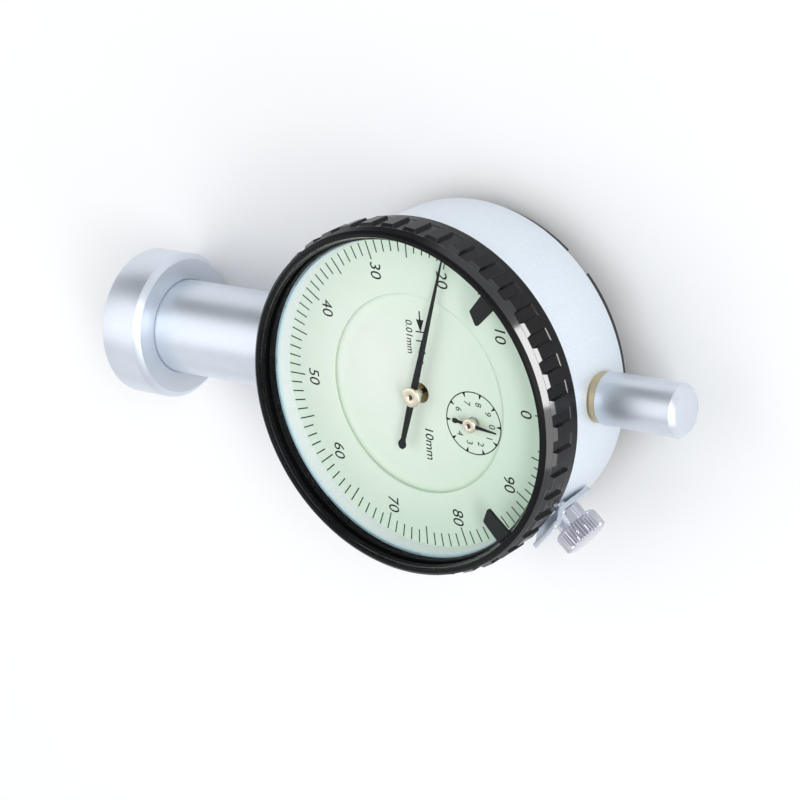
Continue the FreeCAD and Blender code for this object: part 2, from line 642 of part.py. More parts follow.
ROD_START = "tip_length - travel_length"
rod_profile = [
    (ROD_START, "tip_stud + seat_fit"),
    (ROD_START, "spindle_radius"),
    ("rod_joint", "spindle_radius"),
    ("rod_joint", "joint_stud"),
    ("rod_joint + joint_stud_length", "joint_stud"),
    ("rod_joint + joint_stud_length", "0"),
    (ROD_START + " + 3 * tip_length + 0.2", "0"),
    (ROD_START + " + 3 * tip_length + 0.2", "tip_stud + seat_fit"),
]
node(turned("extension_rod", "H_Axis", rod_profile, {}), "extension_rod")


def contact_point():
    """A hardened ball end on a threaded stud. The ball's pole is the tip."""
    start = read("-travel_length")
    shoulder = read(ROD_START)
    ball = read("tip_radius")
    neck = read("spindle_radius")
    ball_part = Part.makeSphere(ball, Vector(start + ball, 0, 0))
    cone = Part.makeCone(0.6 * neck, neck, shoulder - start - 0.5, Vector(start + 0.5, 0, 0), Vector(1, 0, 0))
    stud = Part.makeCylinder(read("tip_stud"), 3 * read("tip_length"), Vector(shoulder, 0, 0), Vector(1, 0, 0))
    limit = Part.makeCylinder(neck, 4 * read("tip_length"), Vector(start, 0, 0), Vector(1, 0, 0))
    ahead = Part.makeCylinder(neck, shoulder - start, Vector(start, 0, 0), Vector(1, 0, 0))
    return ball_part.common(ahead).fuse([cone, stud]).common(limit).removeSplitter()


tip = group("contact_tip", [contact_point()])
node(tip, "contact_point")

# Toothed wheels


def toothed_face(module, teeth, first_angle):
    """Face of a wheel with straight-sided teeth. A tooth points at first_angle, in degrees."""
    pitch_radius = module * teeth / 2
    half = (math.pi * module - read("tooth_backlash")) / 4
    slope = math.tan(math.radians(20))
    flank = (
        (-1, pitch_radius - 1.2 * module, half + 1.2 * module * slope),
        (-1, pitch_radius + module, half - module * slope),
        (1, pitch_radius + module, half - module * slope),
        (1, pitch_radius - 1.2 * module, half + 1.2 * module * slope),
    )
    points = []
    for tooth in range(teeth):
        middle = first_angle + 360.0 * tooth / teeth
        for side, radius, reach in flank:
            x, y = polar(radius, middle + side * math.degrees(reach / pitch_radius))
            points.append(Vector(x, y, 0))
    points.append(points[0])
    return Part.Face(Part.makePolygon(points))


def wheel(first_angle):
    """A toothed wheel with a hub and four round windows."""
    rim = toothed_face(read(WHEEL_MODULE), int(read("wheel_teeth")), first_angle)
    body = rim.extrude(Vector(0, 0, read("wheel_width")))
    body = body.fuse(Part.makeCylinder(read("wheel_hub"), read("wheel_hub_width")))
    openings = [Part.makeCylinder(read("arbor_radius + seat_fit"), read("wheel_hub_width"))]
    middle = read("(%s + wheel_hub) / 2" % WHEEL_PITCH)
    for quarter in range(4):
        x, y = polar(middle, 90 * quarter + 45)
        openings.append(Part.makeCylinder(read("wheel_window"), read("wheel_width"), Vector(x, y, 0)))
    return body.cut(openings)


def arbor(x, y, levels, pinion=None):
    """A stepped arbor from pairs of radius and level, with an optional pinion fused on."""
    corners = [(0, levels[0][1])]
    for (radius, low), (_, high) in zip(levels, levels[1:]):
        corners.append((radius, low))
        corners.append((radius, high))
    corners.append((0, levels[-1][1]))
    shape = revolved(corners)
    if pinion:
        shape = shape.fuse(pinion).removeSplitter()
    return round_the_dial(x, y, 0, shape)


def pinion_at(level, length, module, teeth, first_angle):
    blank = toothed_face(read(module), teeth, first_angle).extrude(Vector(0, 0, length))
    blank.translate(Vector(0, 0, level))
    return blank


offset = read(ARBOR_OFFSET)
side = read("rack_pinion_side")
mesh_angle = read(MESH_ANGLE)
pivot = read("pivot_radius")
staff = read("arbor_radius")
play = read("shoulder_gap")
plate_bottom = read("bottom_plate_level")
plate_inside = read(BOTTOM_PLATE_TOP)
top_plate_inside = read(TOP_PLATE_BOTTOM)
top_plate_outside = read(DECK_BOTTOM)
drive_place = (-offset, side)
takeup_place = (read(TAKEUP_OFFSET), -read("takeup_side"))

# Rack pinion on its arbor, with the drive wheel
rack_pinion_length = read("rack_pinion_length")
rack_pinion_level = read("-dial_height") - rack_pinion_length / 2
rack_pinion_teeth = int(read("rack_pinion_teeth"))
rack_pinion = pinion_at(rack_pinion_level, rack_pinion_length, RACK_MODULE, rack_pinion_teeth, -90)
drive_levels = [
    (pivot, plate_bottom),
    (staff, plate_inside + play),
    (pivot, top_plate_inside - play),
    (0, top_plate_outside),
]
drive_arbor = arbor(*drive_place, drive_levels, rack_pinion)
node(group("rack_pinion_body", [drive_arbor]), "rack_pinion")
wheel_level = read("wheel_level")
drive_wheel = round_the_dial(*drive_place, wheel_level, wheel(-mesh_angle))
node(group("drive_wheel_body", [drive_wheel]), "drive_gear")

# Centre pinion, whose arbor carries the main hand
bridge_level = read("bridge_level")
bridge_top = read("bridge_level + bridge_thickness")
pinion_teeth = int(read("center_pinion_teeth"))
pinion_length = read("center_pinion_length")
pinion_level = bridge_top + play
space_to_wheel = 180 - mesh_angle + 180.0 / pinion_teeth
center_pinion = pinion_at(pinion_level, pinion_length, WHEEL_MODULE, pinion_teeth, space_to_wheel)
center_levels = [
    (pivot, bridge_level),
    (staff, bridge_top + play),
    (pivot, top_plate_inside - play),
    (0, read("main_hub_top - hand_thickness * 2")),
]
node(group("center_arbor_body", [arbor(0, 0, center_levels, center_pinion)]), "center_pinion")

# Take-up wheel on the arbor that carries the small hand
collet_low = read("hairspring_level - 0.2")
collet_high = read("hairspring_level + hairspring_width + 0.2")
takeup_levels = [
    (pivot, plate_bottom),
    (staff, plate_inside + play),
    (read("collet_radius"), collet_low),
    (staff, collet_high),
    (pivot, top_plate_inside - play),
    (0, read("small_hub_top - hand_thickness")),
]
node(group("takeup_arbor_body", [arbor(*takeup_place, takeup_levels)]), "takeup_arbor")
takeup_angle = read(TAKEUP_ANGLE)
# the centre pinion's space stands a little off the line to this wheel, so the wheel is turned back by the ratio
lag = (takeup_angle - mesh_angle) * pinion_teeth / read("wheel_teeth")
takeup_wheel = round_the_dial(*takeup_place, wheel_level, wheel(180 - takeup_angle - lag))
node(group("takeup_wheel_body", [takeup_wheel]), "takeup_gear")


def hairspring():
    """A flat spiral strip of half circles whose radius grows by half a step each time."""
    step = read("hairspring_step") / 2
    radius = read("hairspring_inner")
    half = read("hairspring_thickness") / 2
    centre = 0.0
    arcs = {-1: [], 1: []}
    above = 1
    start = radius
    for _ in range(2 * int(read("hairspring_turns"))):
        for edge, run in arcs.items():
            r = radius + edge * half
            left = Vector(centre - above * r, 0, 0)
            right = Vector(centre + above * r, 0, 0)
            run.append(Part.Arc(right, Vector(centre, above * r, 0), left).toShape())
        new_radius = radius + step / 2
        centre = centre + above * (new_radius - radius)
        radius = new_radius
        above = -above
    ends = [Vector(start - half, 0, 0), Vector(start + half, 0, 0)]
    last_inner = arcs[-1][-1].Vertexes
    last_outer = arcs[1][-1].Vertexes
    tail = sorted((v.Point for v in last_inner + last_outer), key=lambda p: -p.Length)
    outer_end = tail[0]
    inner_end = tail[1]
    caps = [Part.makeLine(*ends), Part.makeLine(inner_end, outer_end)]
    wire = Part.Wire(Part.__sortEdges__(arcs[-1] + arcs[1] + caps))
    strip = Part.Face(wire).extrude(Vector(0, 0, read("hairspring_width")))
    return strip, outer_end


strip, strip_end = hairspring()
strip = round_the_dial(*takeup_place, read("hairspring_level"), strip)
node(group("hairspring_strip", [strip]), "hairspring")
stud_radius = read("stud_radius")
sign = 1 if strip_end.x > 0 else -1
stud = Part.makeCylinder(stud_radius, top_plate_inside - read("hairspring_level"))
stud_x = strip_end.x + sign * (stud_radius + 0.05)
stud = round_the_dial(takeup_place[0] + stud_x, takeup_place[1], read("hairspring_level"), stud)
node(group("hairspring_stud_pin", [stud]), "hairspring_stud")

# Movement plates, bridge, pillars and jewels
PILLAR_ANGLES = {"bridge": (90, 270), "plain": (45, 225)}
jewel_radius = read("jewel_radius")
seat_fit = read("seat_fit")
plate_thickness = read("plate_thickness")
pillar_place = read("pillar_place")
arbors = (drive_place, takeup_place, (0, 0))


def holes(spots, radius, low, height):
    return [round_the_dial(x, y, low, Part.makeCylinder(radius, height)) for x, y in spots]


def drilled(name, label, bottom, bored):
    """A round movement plate, with holes given as pairs of radius and places."""
    blank = disc(name, "plate_radius", bottom, "%s + plate_thickness" % bottom, ON_DIAL)
    drills = []
    for radius, spots in bored:
        drills += holes(spots, radius, read(bottom) - 1, plate_thickness + 2)
    tool = group(name + "_drills", drills)
    return node(cut(name + "_drilled", blank, tool), label)


pillar_spots = [polar(pillar_place, angle) for angles in PILLAR_ANGLES.values() for angle in angles]
screw_angles = [read("movement_screw_angle") + 120 * n for n in range(3)]
screw_spots = [polar(read("movement_screw_place"), angle) for angle in screw_angles]
jewel_hole = jewel_radius + seat_fit
rivet = read("pillar_stud - rivet_step")
drilled("bottom_plate", "movement_bottom_plate", "bottom_plate_level", [
    (jewel_hole, (drive_place, takeup_place)),
    (read("small_screw") + seat_fit, pillar_spots),
])
drilled("top_plate", "movement_top_plate", TOP_PLATE_BOTTOM, [
    (jewel_hole, arbors),
    (rivet + seat_fit, pillar_spots),
    (read("small_screw") + seat_fit, screw_spots),
])

bridge_half = "bridge_width / 2"
bridge_reach = "pillar_place + pillar_radius + bridge_overhang"
bridge_corners = [
    ("-" + bridge_half, "-(%s)" % bridge_reach),
    (bridge_half, "-(%s)" % bridge_reach),
    (bridge_half, bridge_reach),
    ("-" + bridge_half, bridge_reach),
]
bridge_bar = plate("bridge_bar", bridge_corners, "bridge_level", "bridge_thickness", ON_DIAL)
bridge_spots = [polar(pillar_place, angle) for angle in PILLAR_ANGLES["bridge"]]
bridge_drill = read("bridge_thickness") + 2
bridge_holes = holes(bridge_spots, read("pillar_stud") + seat_fit, bridge_level - 1, bridge_drill)
bridge_holes += holes([(0, 0)], jewel_hole, bridge_level - 1, bridge_drill)
node(cut("bridge_drilled", bridge_bar, group("bridge_drills", bridge_holes)), "center_bridge")

pillar = read("pillar_radius")
thin_pillar = read("pillar_stud")
screw_bore = read("small_screw") + seat_fit
screw_depth = read("small_screw_length - plate_thickness + thread_room")


def pillars(steps, angles):
    """Pillars with a riveted upper end and a threaded hole in the lower one."""
    corners = [(screw_bore, plate_inside)]
    for radius, low, high in steps:
        corners += [(radius, low), (radius, high)]
    corners += [(rivet, top_plate_inside), (rivet, top_plate_outside), (0, top_plate_outside)]
    corners += [(0, plate_inside + screw_depth), (screw_bore, plate_inside + screw_depth)]
    shape = revolved(corners)
    return [round_the_dial(*polar(pillar_place, angle), 0, shape) for angle in angles]


bridge_steps = [(pillar, plate_inside, bridge_level), (thin_pillar, bridge_level, top_plate_inside)]
node(group("bridge_posts", pillars(bridge_steps, PILLAR_ANGLES["bridge"])), "bridge_pillars")
plain_steps = [(pillar, plate_inside, top_plate_inside)]
node(group("plain_posts", pillars(plain_steps, PILLAR_ANGLES["plain"])), "plate_pillars")


def jewel(height):
    corners = [(pivot + read("pivot_fit"), 0), (jewel_radius, 0), (jewel_radius, height)]
    return revolved(corners + [(pivot + read("pivot_fit"), height)])


jewels = [round_the_dial(x, y, top_plate_inside, jewel(plate_thickness)) for x, y in arbors]
jewels += [round_the_dial(x, y, plate_bottom, jewel(plate_thickness)) for x, y in arbors[:2]]
jewels.append(round_the_dial(0, 0, bridge_level, jewel(read("bridge_thickness"))))
node(group("jewel_rings", jewels), "jewel_bearings")


def pan_screw(length):
    """A slotted screw pointing up, its head below z = 0."""
    shank = read("small_screw")
    head = read("small_head")
    head_height = read("small_head_height")
    corners = [(0, -head_height), (head - 0.2, -head_height), (head, -head_height + 0.2), (head, 0)]
    corners += [(shank, 0), (shank, length), (0, length)]
    slot = Part.makeBox(2 * head, head / 3, head_height / 2, Vector(-head, -head / 6, -head_height))
    return revolved(corners).cut(slot)


pillar_screw = pan_screw(read("small_screw_length"))
pillar_screws = [round_the_dial(x, y, plate_bottom, pillar_screw) for x, y in pillar_spots]
node(group("pillar_screw_group", pillar_screws), "pillar_screws")
deck_screw = pan_screw(read("deck_screw_length"))
movement_screws = [round_the_dial(x, y, top_plate_inside, deck_screw) for x, y in screw_spots]
node(group("movement_screw_group", movement_screws), "movement_screws")

# Guide rail: a wall on the bottom plate whose slot holds and stops the guide pin
RAIL_BOTTOM = "dial_height + " + BOTTOM_PLATE_TOP
rail_block = box(
    "rail_block",
    (RAIL_SLOT_START + " - rail_margin", "-rail_far", RAIL_BOTTOM),
    (RAIL_SLOT_END + " + rail_margin", "-rail_near", "rail_top"),
    {},
)
SLOT_HALF = "guide_pin_radius + running_fit"
rail_slot = box(
    "rail_slot",
    (RAIL_SLOT_START, "-rail_far - 1", "-(%s)" % SLOT_HALF),
    (RAIL_SLOT_END, "1 - rail_near", SLOT_HALF),
    {},
)
node(cut("rail", rail_block, rail_slot), "guide_rail")

# Return spring between a post on the bottom plate and the guide pin
spring_post = disc("post", "guide_pin_radius", RAIL_BOTTOM, "rail_top", dict(x="spring_post_x", y="-spring_side"))
node(spring_post, "spring_post")


def hexagon_wire(radius, centre, normal):
    """Outline of a six-sided wire section. Few sides are enough for so thin a wire."""
    across = Vector(0, 0, 1).cross(normal) if abs(normal.z) < 0.5 else Vector(1, 0, 0)
    up = normal.cross(across)
    spots = []
    for corner in range(6):
        x, y = polar(radius, 60 * corner + 30)
        spots.append(centre + across * x + up * y)
    return Part.makePolygon(spots + spots[:1])


def return_spring():
    """A coil spring along X with an eye at each end."""
    wire = read("spring_wire")
    radius = read("spring_radius")
    hook = read("spring_hook")
    reach = read("guide_pin_x - spring_post_x")
    length = reach - 2 * hook
    turns = read("spring_turns")
    helix = Part.makeHelix(length / turns, length, radius)
    section = hexagon_wire(wire, Vector(radius, 0, 0), Vector(0, 1, 0))
    coil = Part.Wire(helix).makePipeShell([section], True, True)
    coil.rotate(Vector(), Vector(0, 1, 0), 90)
    coil.translate(Vector(hook, 0, 0))
    parts = []
    for centre, axis in ((Vector(), Vector(0, 0, 1)), (Vector(reach, 0, 0), Vector(0, 1, 0))):
        outline_at = centre + Vector(hook, 0, 0)
        eye = Part.Face(hexagon_wire(wire, outline_at, axis.cross(Vector(1, 0, 0))))
        parts.append(eye.revolve(centre, axis, 360))
    for x in (hook, reach - hook):
        foot = Part.Face(hexagon_wire(0.9 * wire, Vector(x, 0, -radius - wire / 2), Vector(0, 0, 1)))
        parts.append(foot.extrude(Vector(0, 0, radius + wire)))
    spring = coil.fuse(parts)
    spring.translate(Vector(read("spring_post_x"), read("-spring_side"), 0))
    return spring


node(group("spring_coil", [return_spring()]), "return_spring")

# Case: a turned cup with a deck in front, open at the back
case_profile = [
    (CASE_INNER, "case_back_level"),
    ("case_radius - case_edge", "case_back_level"),
    ("case_radius", "case_back_level + case_edge"),
    ("case_radius", "shoulder_level"),
    ("neck_radius", "shoulder_level"),
    ("neck_radius", "snap_ring_level - ring_groove_depth"),
    ("neck_radius - ring_groove_depth", "snap_ring_level - ring_groove_depth"),
    ("neck_radius - ring_groove_depth", "snap_ring_level + ring_groove_depth"),
    ("neck_radius", "snap_ring_level + ring_groove_depth"),
    ("neck_radius", "deck_level"),
    ("center_disc_hole + 0.8", "deck_level"),
    ("center_disc_hole + 0.8", DECK_BOTTOM),
    (CASE_INNER, DECK_BOTTOM),
]
cup = turned("case_cup", "V_Axis", case_profile, ON_DIAL)
SPINDLE_LEVEL = "-dial_height"
case_bore = disc("case_bore", CASE_INNER + " + 0.2", "case_back_level", DECK_BOTTOM, ON_DIAL)
pad_block = box(
    "pad_block",
    ("-" + CASE_INNER + " - 0.1", "-stem_flange - 1", "case_back_level"),
    ("-pad_face", "stem_flange + 1", DECK_BOTTOM),
    ON_DIAL,
)
stem_pad = doc.addObject("Part::Common", "stem_pad")
stem_pad.Base = pad_block
stem_pad.Tool = case_bore
boss_spots = [polar(read("boss_place"), read("boss_angle") + 90 * n) for n in range(4)]
boss_height = read(DECK_BOTTOM + " - case_back_level")
case_back = read("case_back_level")
bosses = holes(boss_spots, read("boss_radius"), case_back, boss_height)
cup = fuse("case", cup, stem_pad, group("case_bosses", bosses))

stem_hole = rod("stem_hole", "stem_radius + seat_fit", "dial_axis - case_radius - 1", PAD_FACE + " + 1", {})
bush_hole = rod("bush_hole", "cap_bush_radius + seat_fit", "dial_axis + pad_face", "dial_axis + cap_root", {})
spot = rod("spot_face_cutter", "spot_face", COLLAR_START, "dial_axis + cap_root", {})
clamp_axis = dict(x="dial_axis", z="dial_height + clamp_screw_level", turn="clamp_angle")
clamp_hole = rod("clamp_hole", "clamp_shank + running_fit", CASE_INNER + " - 2", "case_radius + 1", clamp_axis)
small_arbor_place = dict(x="dial_axis + " + TAKEUP_OFFSET, y="-takeup_side", z="dial_height")
arbor_hole = disc("arbor_hole", "small_arbor_hole", DECK_BOTTOM + " - 1", "deck_level + 1", small_arbor_place)
cover_screw_holes = holes(boss_spots, read("cover_screw + seat_fit"), case_back, read("cover_screw_length"))
deck_depth = read("deck_screw_length - plate_thickness + thread_room")
deck_screw_holes = holes(screw_spots, screw_bore, top_plate_outside, deck_depth)
foot_spots = [polar(read("dial_foot_place"), angle) for angle in (90, 270)]
foot_holes = holes(foot_spots, read("dial_foot + seat_fit"), top_plate_outside, read("deck_thickness") + 1)
case_drills = group("case_drills", cover_screw_holes + deck_screw_holes + foot_holes)
node(cut("case_body", cup, stem_hole, bush_hole, spot, clamp_hole, arbor_hole, case_drills), "case")

# Back cover with pry notches and countersunk screws
COVER_BACK = "case_back_level - cover_thickness"
cover_profile = [
    ("0", "case_back_level"),
    ("cover_radius", "case_back_level"),
    ("cover_radius", COVER_BACK + " + cover_edge"),
    ("cover_radius - cover_edge", COVER_BACK),
    ("cover_dish_radius", COVER_BACK),
    ("cover_dish_radius - cover_dish", COVER_BACK + " + cover_dish"),
    ("0", COVER_BACK + " + cover_dish"),
]
cover_blank = turned("cover_blank", "V_Axis", cover_profile, ON_DIAL)
notches = []
for quarter in range(4):
    notch = Part.makeBox(2 * read("notch_depth"), read("notch_width"), read("cover_thickness") + 2)
    notch.translate(Vector(read("cover_radius - notch_depth"), -read("notch_width") / 2, case_back - 3))
    notch.rotate(Vector(), Vector(0, 0, 1), 45 + 90 * quarter)
    notches.append(round_the_dial(0, 0, 0, notch))
head = read("cover_screw_head")
shank = read("cover_screw")
cover_back = read(COVER_BACK)
sink = head - shank


def flat_head(gap):
    """Countersunk screw profile about Z, its head flush with the cover's back."""
    return [
        (0, cover_back - (1 if gap else 0)),
        (head + gap, cover_back - (1 if gap else 0)),
        (head + gap, cover_back),
        (shank + gap, cover_back + sink),
    ]


sinks = [round_the_dial(x, y, 0, revolved(flat_head(seat_fit) + [(shank + seat_fit, case_back + 1),
                                                                (0, case_back + 1)])) for x, y in boss_spots]
node(cut("cover", cover_blank, group("cover_tools", notches + sinks)), "back_cover")
screw_top = cover_back + read("cover_screw_length")
screw_solid = revolved(flat_head(0)[:1] + flat_head(0)[2:] + [(shank, screw_top), (0, screw_top)])
cross = Part.makeBox(1.6 * head, 0.5, 0.5, Vector(-0.8 * head, -0.25, cover_back))
screw_solid = screw_solid.cut(cross)
cover_screws = [round_the_dial(x, y, 0, screw_solid) for x, y in boss_spots]
node(group("cover_screw_group", cover_screws), "back_cover_screws")

# Bezel: a turned ring with grip teeth
bezel_profile = [
    ("bezel_bore", "bezel_back"),
    ("bezel_radius - 0.2", "bezel_back"),
    ("bezel_radius", "bezel_back + 0.2"),
    ("bezel_radius", "tooth_front"),
    ("bezel_radius - lip_groove", "tooth_front + lip_groove"),
    ("lip_outer", "lip_outer_level"),
    ("lip_crest", "lip_level"),
    ("lip_inner", "lip_level"),
    ("throat_radius + (lip_inner - throat_radius) * (marker_groove_high - throat_level)"
     " / (lip_level - throat_level)", "marker_groove_high"),
    ("marker_groove", "marker_groove_high"),
    ("marker_groove", "marker_groove_low"),
    ("throat_radius + (lip_inner - throat_radius) * (marker_groove_low - throat_level)"
     " / (lip_level - throat_level)", "marker_groove_low"),
    ("throat_radius", "throat_level"),
    ("bezel_bore", "throat_level"),
    ("bezel_bore", "clip_ring_level + ring_groove_depth"),
    ("bezel_bore + ring_groove_depth", "clip_ring_level + ring_groove_depth"),
    ("bezel_bore + ring_groove_depth", "clip_ring_level - ring_groove_depth"),
    ("bezel_bore", "clip_ring_level - ring_groove_depth"),
    ("bezel_bore", "snap_ring_level + ring_groove_depth"),
    ("bezel_bore + ring_groove_depth", "snap_ring_level + ring_groove_depth"),
    ("bezel_bore + ring_groove_depth", "snap_ring_level - ring_groove_depth"),
    ("bezel_bore", "snap_ring_level - ring_groove_depth"),
]
bezel_ring = turned("bezel_ring", "V_Axis", bezel_profile, ON_DIAL)


def grip_teeth():
    """Trapezoid pads round the bezel, as one toothed ring."""
    count = int(read("bezel_teeth"))
    pitch = 360.0 / count
    root = read("bezel_radius")
    crown = read("tooth_radius")
    inner = read("bezel_bore") + 1
    half = pitch * read("tooth_share") / 2
    slope = pitch * read("tooth_slope") / 2
    points = []
    for tooth in range(count):
        middle = read("tooth_phase") + pitch * tooth
        for angle, radius in (
            (-half - slope, root),
            (-half, crown),
            (half, crown),
            (half + slope, root),
        ):
            x, y = polar(radius, middle + angle)
            points.append(Vector(x, y, 0))
    points.append(points[0])
    length = read("tooth_front - tooth_back")
    star = Part.Face(Part.makePolygon(points)).extrude(Vector(0, 0, length))
    return round_the_dial(0, 0, read("tooth_back"), star.cut(Part.makeCylinder(inner, length)))


node(fuse("bezel_body", bezel_ring, group("grip", [grip_teeth()])), "bezel")


def open_ring(name, label, level):
    """A flat sprung ring with a gap, half in the bezel's groove."""
    inner = "neck_radius - ring_groove_depth + ring_bottom"
    outer = "bezel_bore + ring_groove_depth - ring_bottom"
    low = level + " - ring_strip / 2"
    high = level + " + ring_strip / 2"
    ring = turned(name, "V_Axis", [(inner, low), (outer, low), (outer, high), (inner, high)], ON_DIAL)
    bind(doc.getObject(name + "_turned"), "Angle", "360 - ring_opening")
    return node(ring, label)


open_ring("snap_strip", "bezel_snap_ring", "snap_ring_level")
open_ring("clip_strip", "dial_clip_ring", "clip_ring_level")

# Crystal, spacer ring, dial ring and centre disc
CRYSTAL_BOTTOM = "throat_level - crystal_thickness"
node(disc("crystal_disc", "crystal_edge", CRYSTAL_BOTTOM, "throat_level", ON_DIAL), "crystal")
spacer_profile = [
    ("spacer_foot", "0"),
    ("crystal_edge", "0"),
    ("crystal_edge", CRYSTAL_BOTTOM),
    ("spacer_top", CRYSTAL_BOTTOM),
]
node(turned("spacer", "V_Axis", spacer_profile, ON_DIAL), "spacer_ring")
dial_ring = disc("dial_ring_disc", "crystal_edge", "-dial_thickness", "0", ON_DIAL, bore="dial_ring_inner")
node(dial_ring, "dial_ring")
DISC_TOP = "deck_level + dial_thickness"
center_disc = disc("center_disc", "center_disc_radius", "deck_level", DISC_TOP, ON_DIAL, bore="center_disc_hole")
feet = holes(foot_spots, read("dial_foot"), read("deck_level - deck_thickness"), read("deck_thickness") + 0.1)
disc_hole = disc("disc_hole", "small_arbor_hole", "deck_level - 1", DISC_TOP + " + 1", small_arbor_place)
center_disc = fuse("disc_with_feet", center_disc, group("disc_feet", feet))
node(cut("disc_body", center_disc, disc_hole), "dial_center")


# Limit markers: a flat finger on a curved foot that runs in the bezel's groove
def limit_marker(zero_side):
    """zero_side is -1 for the marker on the left of zero and 1 for the one on the right."""
    middle = -zero_side * read("marker_angle")
    half = read("marker_half_width")
    inner = read("marker_foot_inner")
    outer = read("marker_foot_outer")
    thick = Vector(0, 0, read("marker_thickness"))
    near = middle + zero_side * half
    far = middle - zero_side * half
    corners = [
        polar(inner + 0.1, far),
        polar(read("marker_tip_short"), far),
        polar(read("marker_tip"), near),
        polar(inner + 0.1, near),
    ]
    points = [Vector(x, y, 0) for x, y in corners]
    finger = Part.Face(Part.makePolygon(points + points[:1])).extrude(thick)
    upright = [e for e in finger.Edges if abs(e.tangentAt(e.FirstParameter).z) > 0.9]
    tips = [e for e in upright if math.hypot(e.Vertexes[0].X, e.Vertexes[0].Y) < inner - 1]
    finger = finger.makeFillet(read("marker_tip_round"), tips)
    spread = read("marker_foot_half")
    ring = Part.makeCylinder(outer, thick.z).cut(Part.makeCylinder(inner, thick.z))
    reach = [Vector(*polar(2 * outer, middle + s * spread), 0) for s in (-1, 1)]
    wedge = Part.Face(Part.makePolygon([Vector()] + reach + [Vector()])).extrude(thick)
    foot = ring.common(wedge)
    marker = finger.fuse(foot).removeSplitter()
    return round_the_dial(0, 0, read("marker_level"), marker)


node(group("marker_left_body", [limit_marker(-1)]), "limit_marker_left")
node(group("marker_right_body", [limit_marker(1)]), "limit_marker_right")

# Hands and hubs
hand_corners = [
    ("main_hand_tip", "-main_hand_tip_width / 2"),
    ("main_hand_tip", "main_hand_tip_width / 2"),
    ("0", "main_hand_root_width / 2"),
    ("-main_hand_tail + tail_head", "main_hand_tail_width / 2"),
    ("-main_hand_tail + tail_head * 0.7", "tail_head_half"),
    ("-main_hand_tail + tail_head * 0.3", "tail_head_half"),
    ("-main_hand_tail", "main_hand_tip_width"),
    ("-main_hand_tail", "-main_hand_tip_width"),
    ("-main_hand_tail + tail_head * 0.3", "-tail_head_half"),
    ("-main_hand_tail + tail_head * 0.7", "-tail_head_half"),
    ("-main_hand_tail + tail_head", "-main_hand_tail_width / 2"),
    ("0", "-main_hand_root_width / 2"),
]
hand_place = dict(ON_DIAL, turn="main_hand_angle")
hand_blade = plate("main_hand_blade", hand_corners, "main_hand_level", "hand_thickness", hand_place)
HAND_TOP = "main_hand_level + hand_thickness"
collar = disc("main_hand_collar", "main_hub_radius - 0.1", "main_hand_level", HAND_TOP, ON_DIAL)
hub_hole = disc("main_hand_hole", "main_hub_sleeve + seat_fit", "main_hand_level - 1", HAND_TOP + " + 1", ON_DIAL)
node(cut("main_hand_body", fuse("main_hand_plate", hand_blade, collar), hub_hole), "main_hand")
main_hub_profile = [
    ("pivot_radius + seat_fit", "main_hub_bottom"),
    ("main_hub_sleeve", "main_hub_bottom"),
    ("main_hub_sleeve", HAND_TOP),
    ("main_hub_radius", HAND_TOP),
    ("main_hub_radius", "main_hub_top - 0.12"),
    ("main_hub_radius - 0.12", "main_hub_top"),
    ("pivot_radius + 0.15", "main_hub_top"),
    ("pivot_radius + seat_fit", "main_hub_top - 0.15"),
]
node(turned("main_hub_turned", "V_Axis", main_hub_profile, ON_DIAL), "main_hub")

small_corners = [
    ("small_hand_tip", "-small_hand_tip_width / 2"),
    ("small_hand_tip", "small_hand_tip_width / 2"),
    ("0", "small_hand_root_width / 2"),
    ("-small_hand_tail + small_tail_head", "small_hand_tip_width"),
    ("-small_hand_tail + small_tail_head * 0.75", "small_hand_tip_width * 2"),
    ("-small_hand_tail + small_tail_head * 0.25", "small_hand_tip_width * 2"),
    ("-small_hand_tail", "small_hand_tip_width"),
    ("-small_hand_tail", "-small_hand_tip_width"),
    ("-small_hand_tail + small_tail_head * 0.25", "-small_hand_tip_width * 2"),
    ("-small_hand_tail + small_tail_head * 0.75", "-small_hand_tip_width * 2"),
    ("-small_hand_tail + small_tail_head", "-small_hand_tip_width"),
    ("0", "-small_hand_root_width / 2"),
]
small_place = dict(small_arbor_place, turn="small_hand_angle")
small_blade = plate("small_blade", small_corners, "small_hand_level", "hand_thickness", small_place)
SMALL_TOP = "small_hand_level + hand_thickness"
small_collar = disc("small_collar", "small_hub_radius - 0.02", "small_hand_level", SMALL_TOP, small_arbor_place)
small_bore = disc(
    "small_bore", "small_hub_sleeve + seat_fit", "small_hand_level - 1", SMALL_TOP + " + 1", small_arbor_place
)
node(cut("small_hand_body", fuse("small_hand_plate", small_blade, small_collar), small_bore), "small_hand")
small_hub_profile = [
    ("pivot_radius + seat_fit", "small_hub_bottom"),
    ("small_hub_sleeve", "small_hub_bottom"),
    ("small_hub_sleeve", SMALL_TOP),
    ("small_hub_radius", SMALL_TOP),
    ("small_hub_radius", "small_hub_top - 0.1"),
    ("small_hub_radius - 0.1", "small_hub_top"),
    ("pivot_radius + seat_fit", "small_hub_top"),
]
node(turned("small_hub_turned", "V_Axis", small_hub_profile, small_arbor_place), "small_hub")

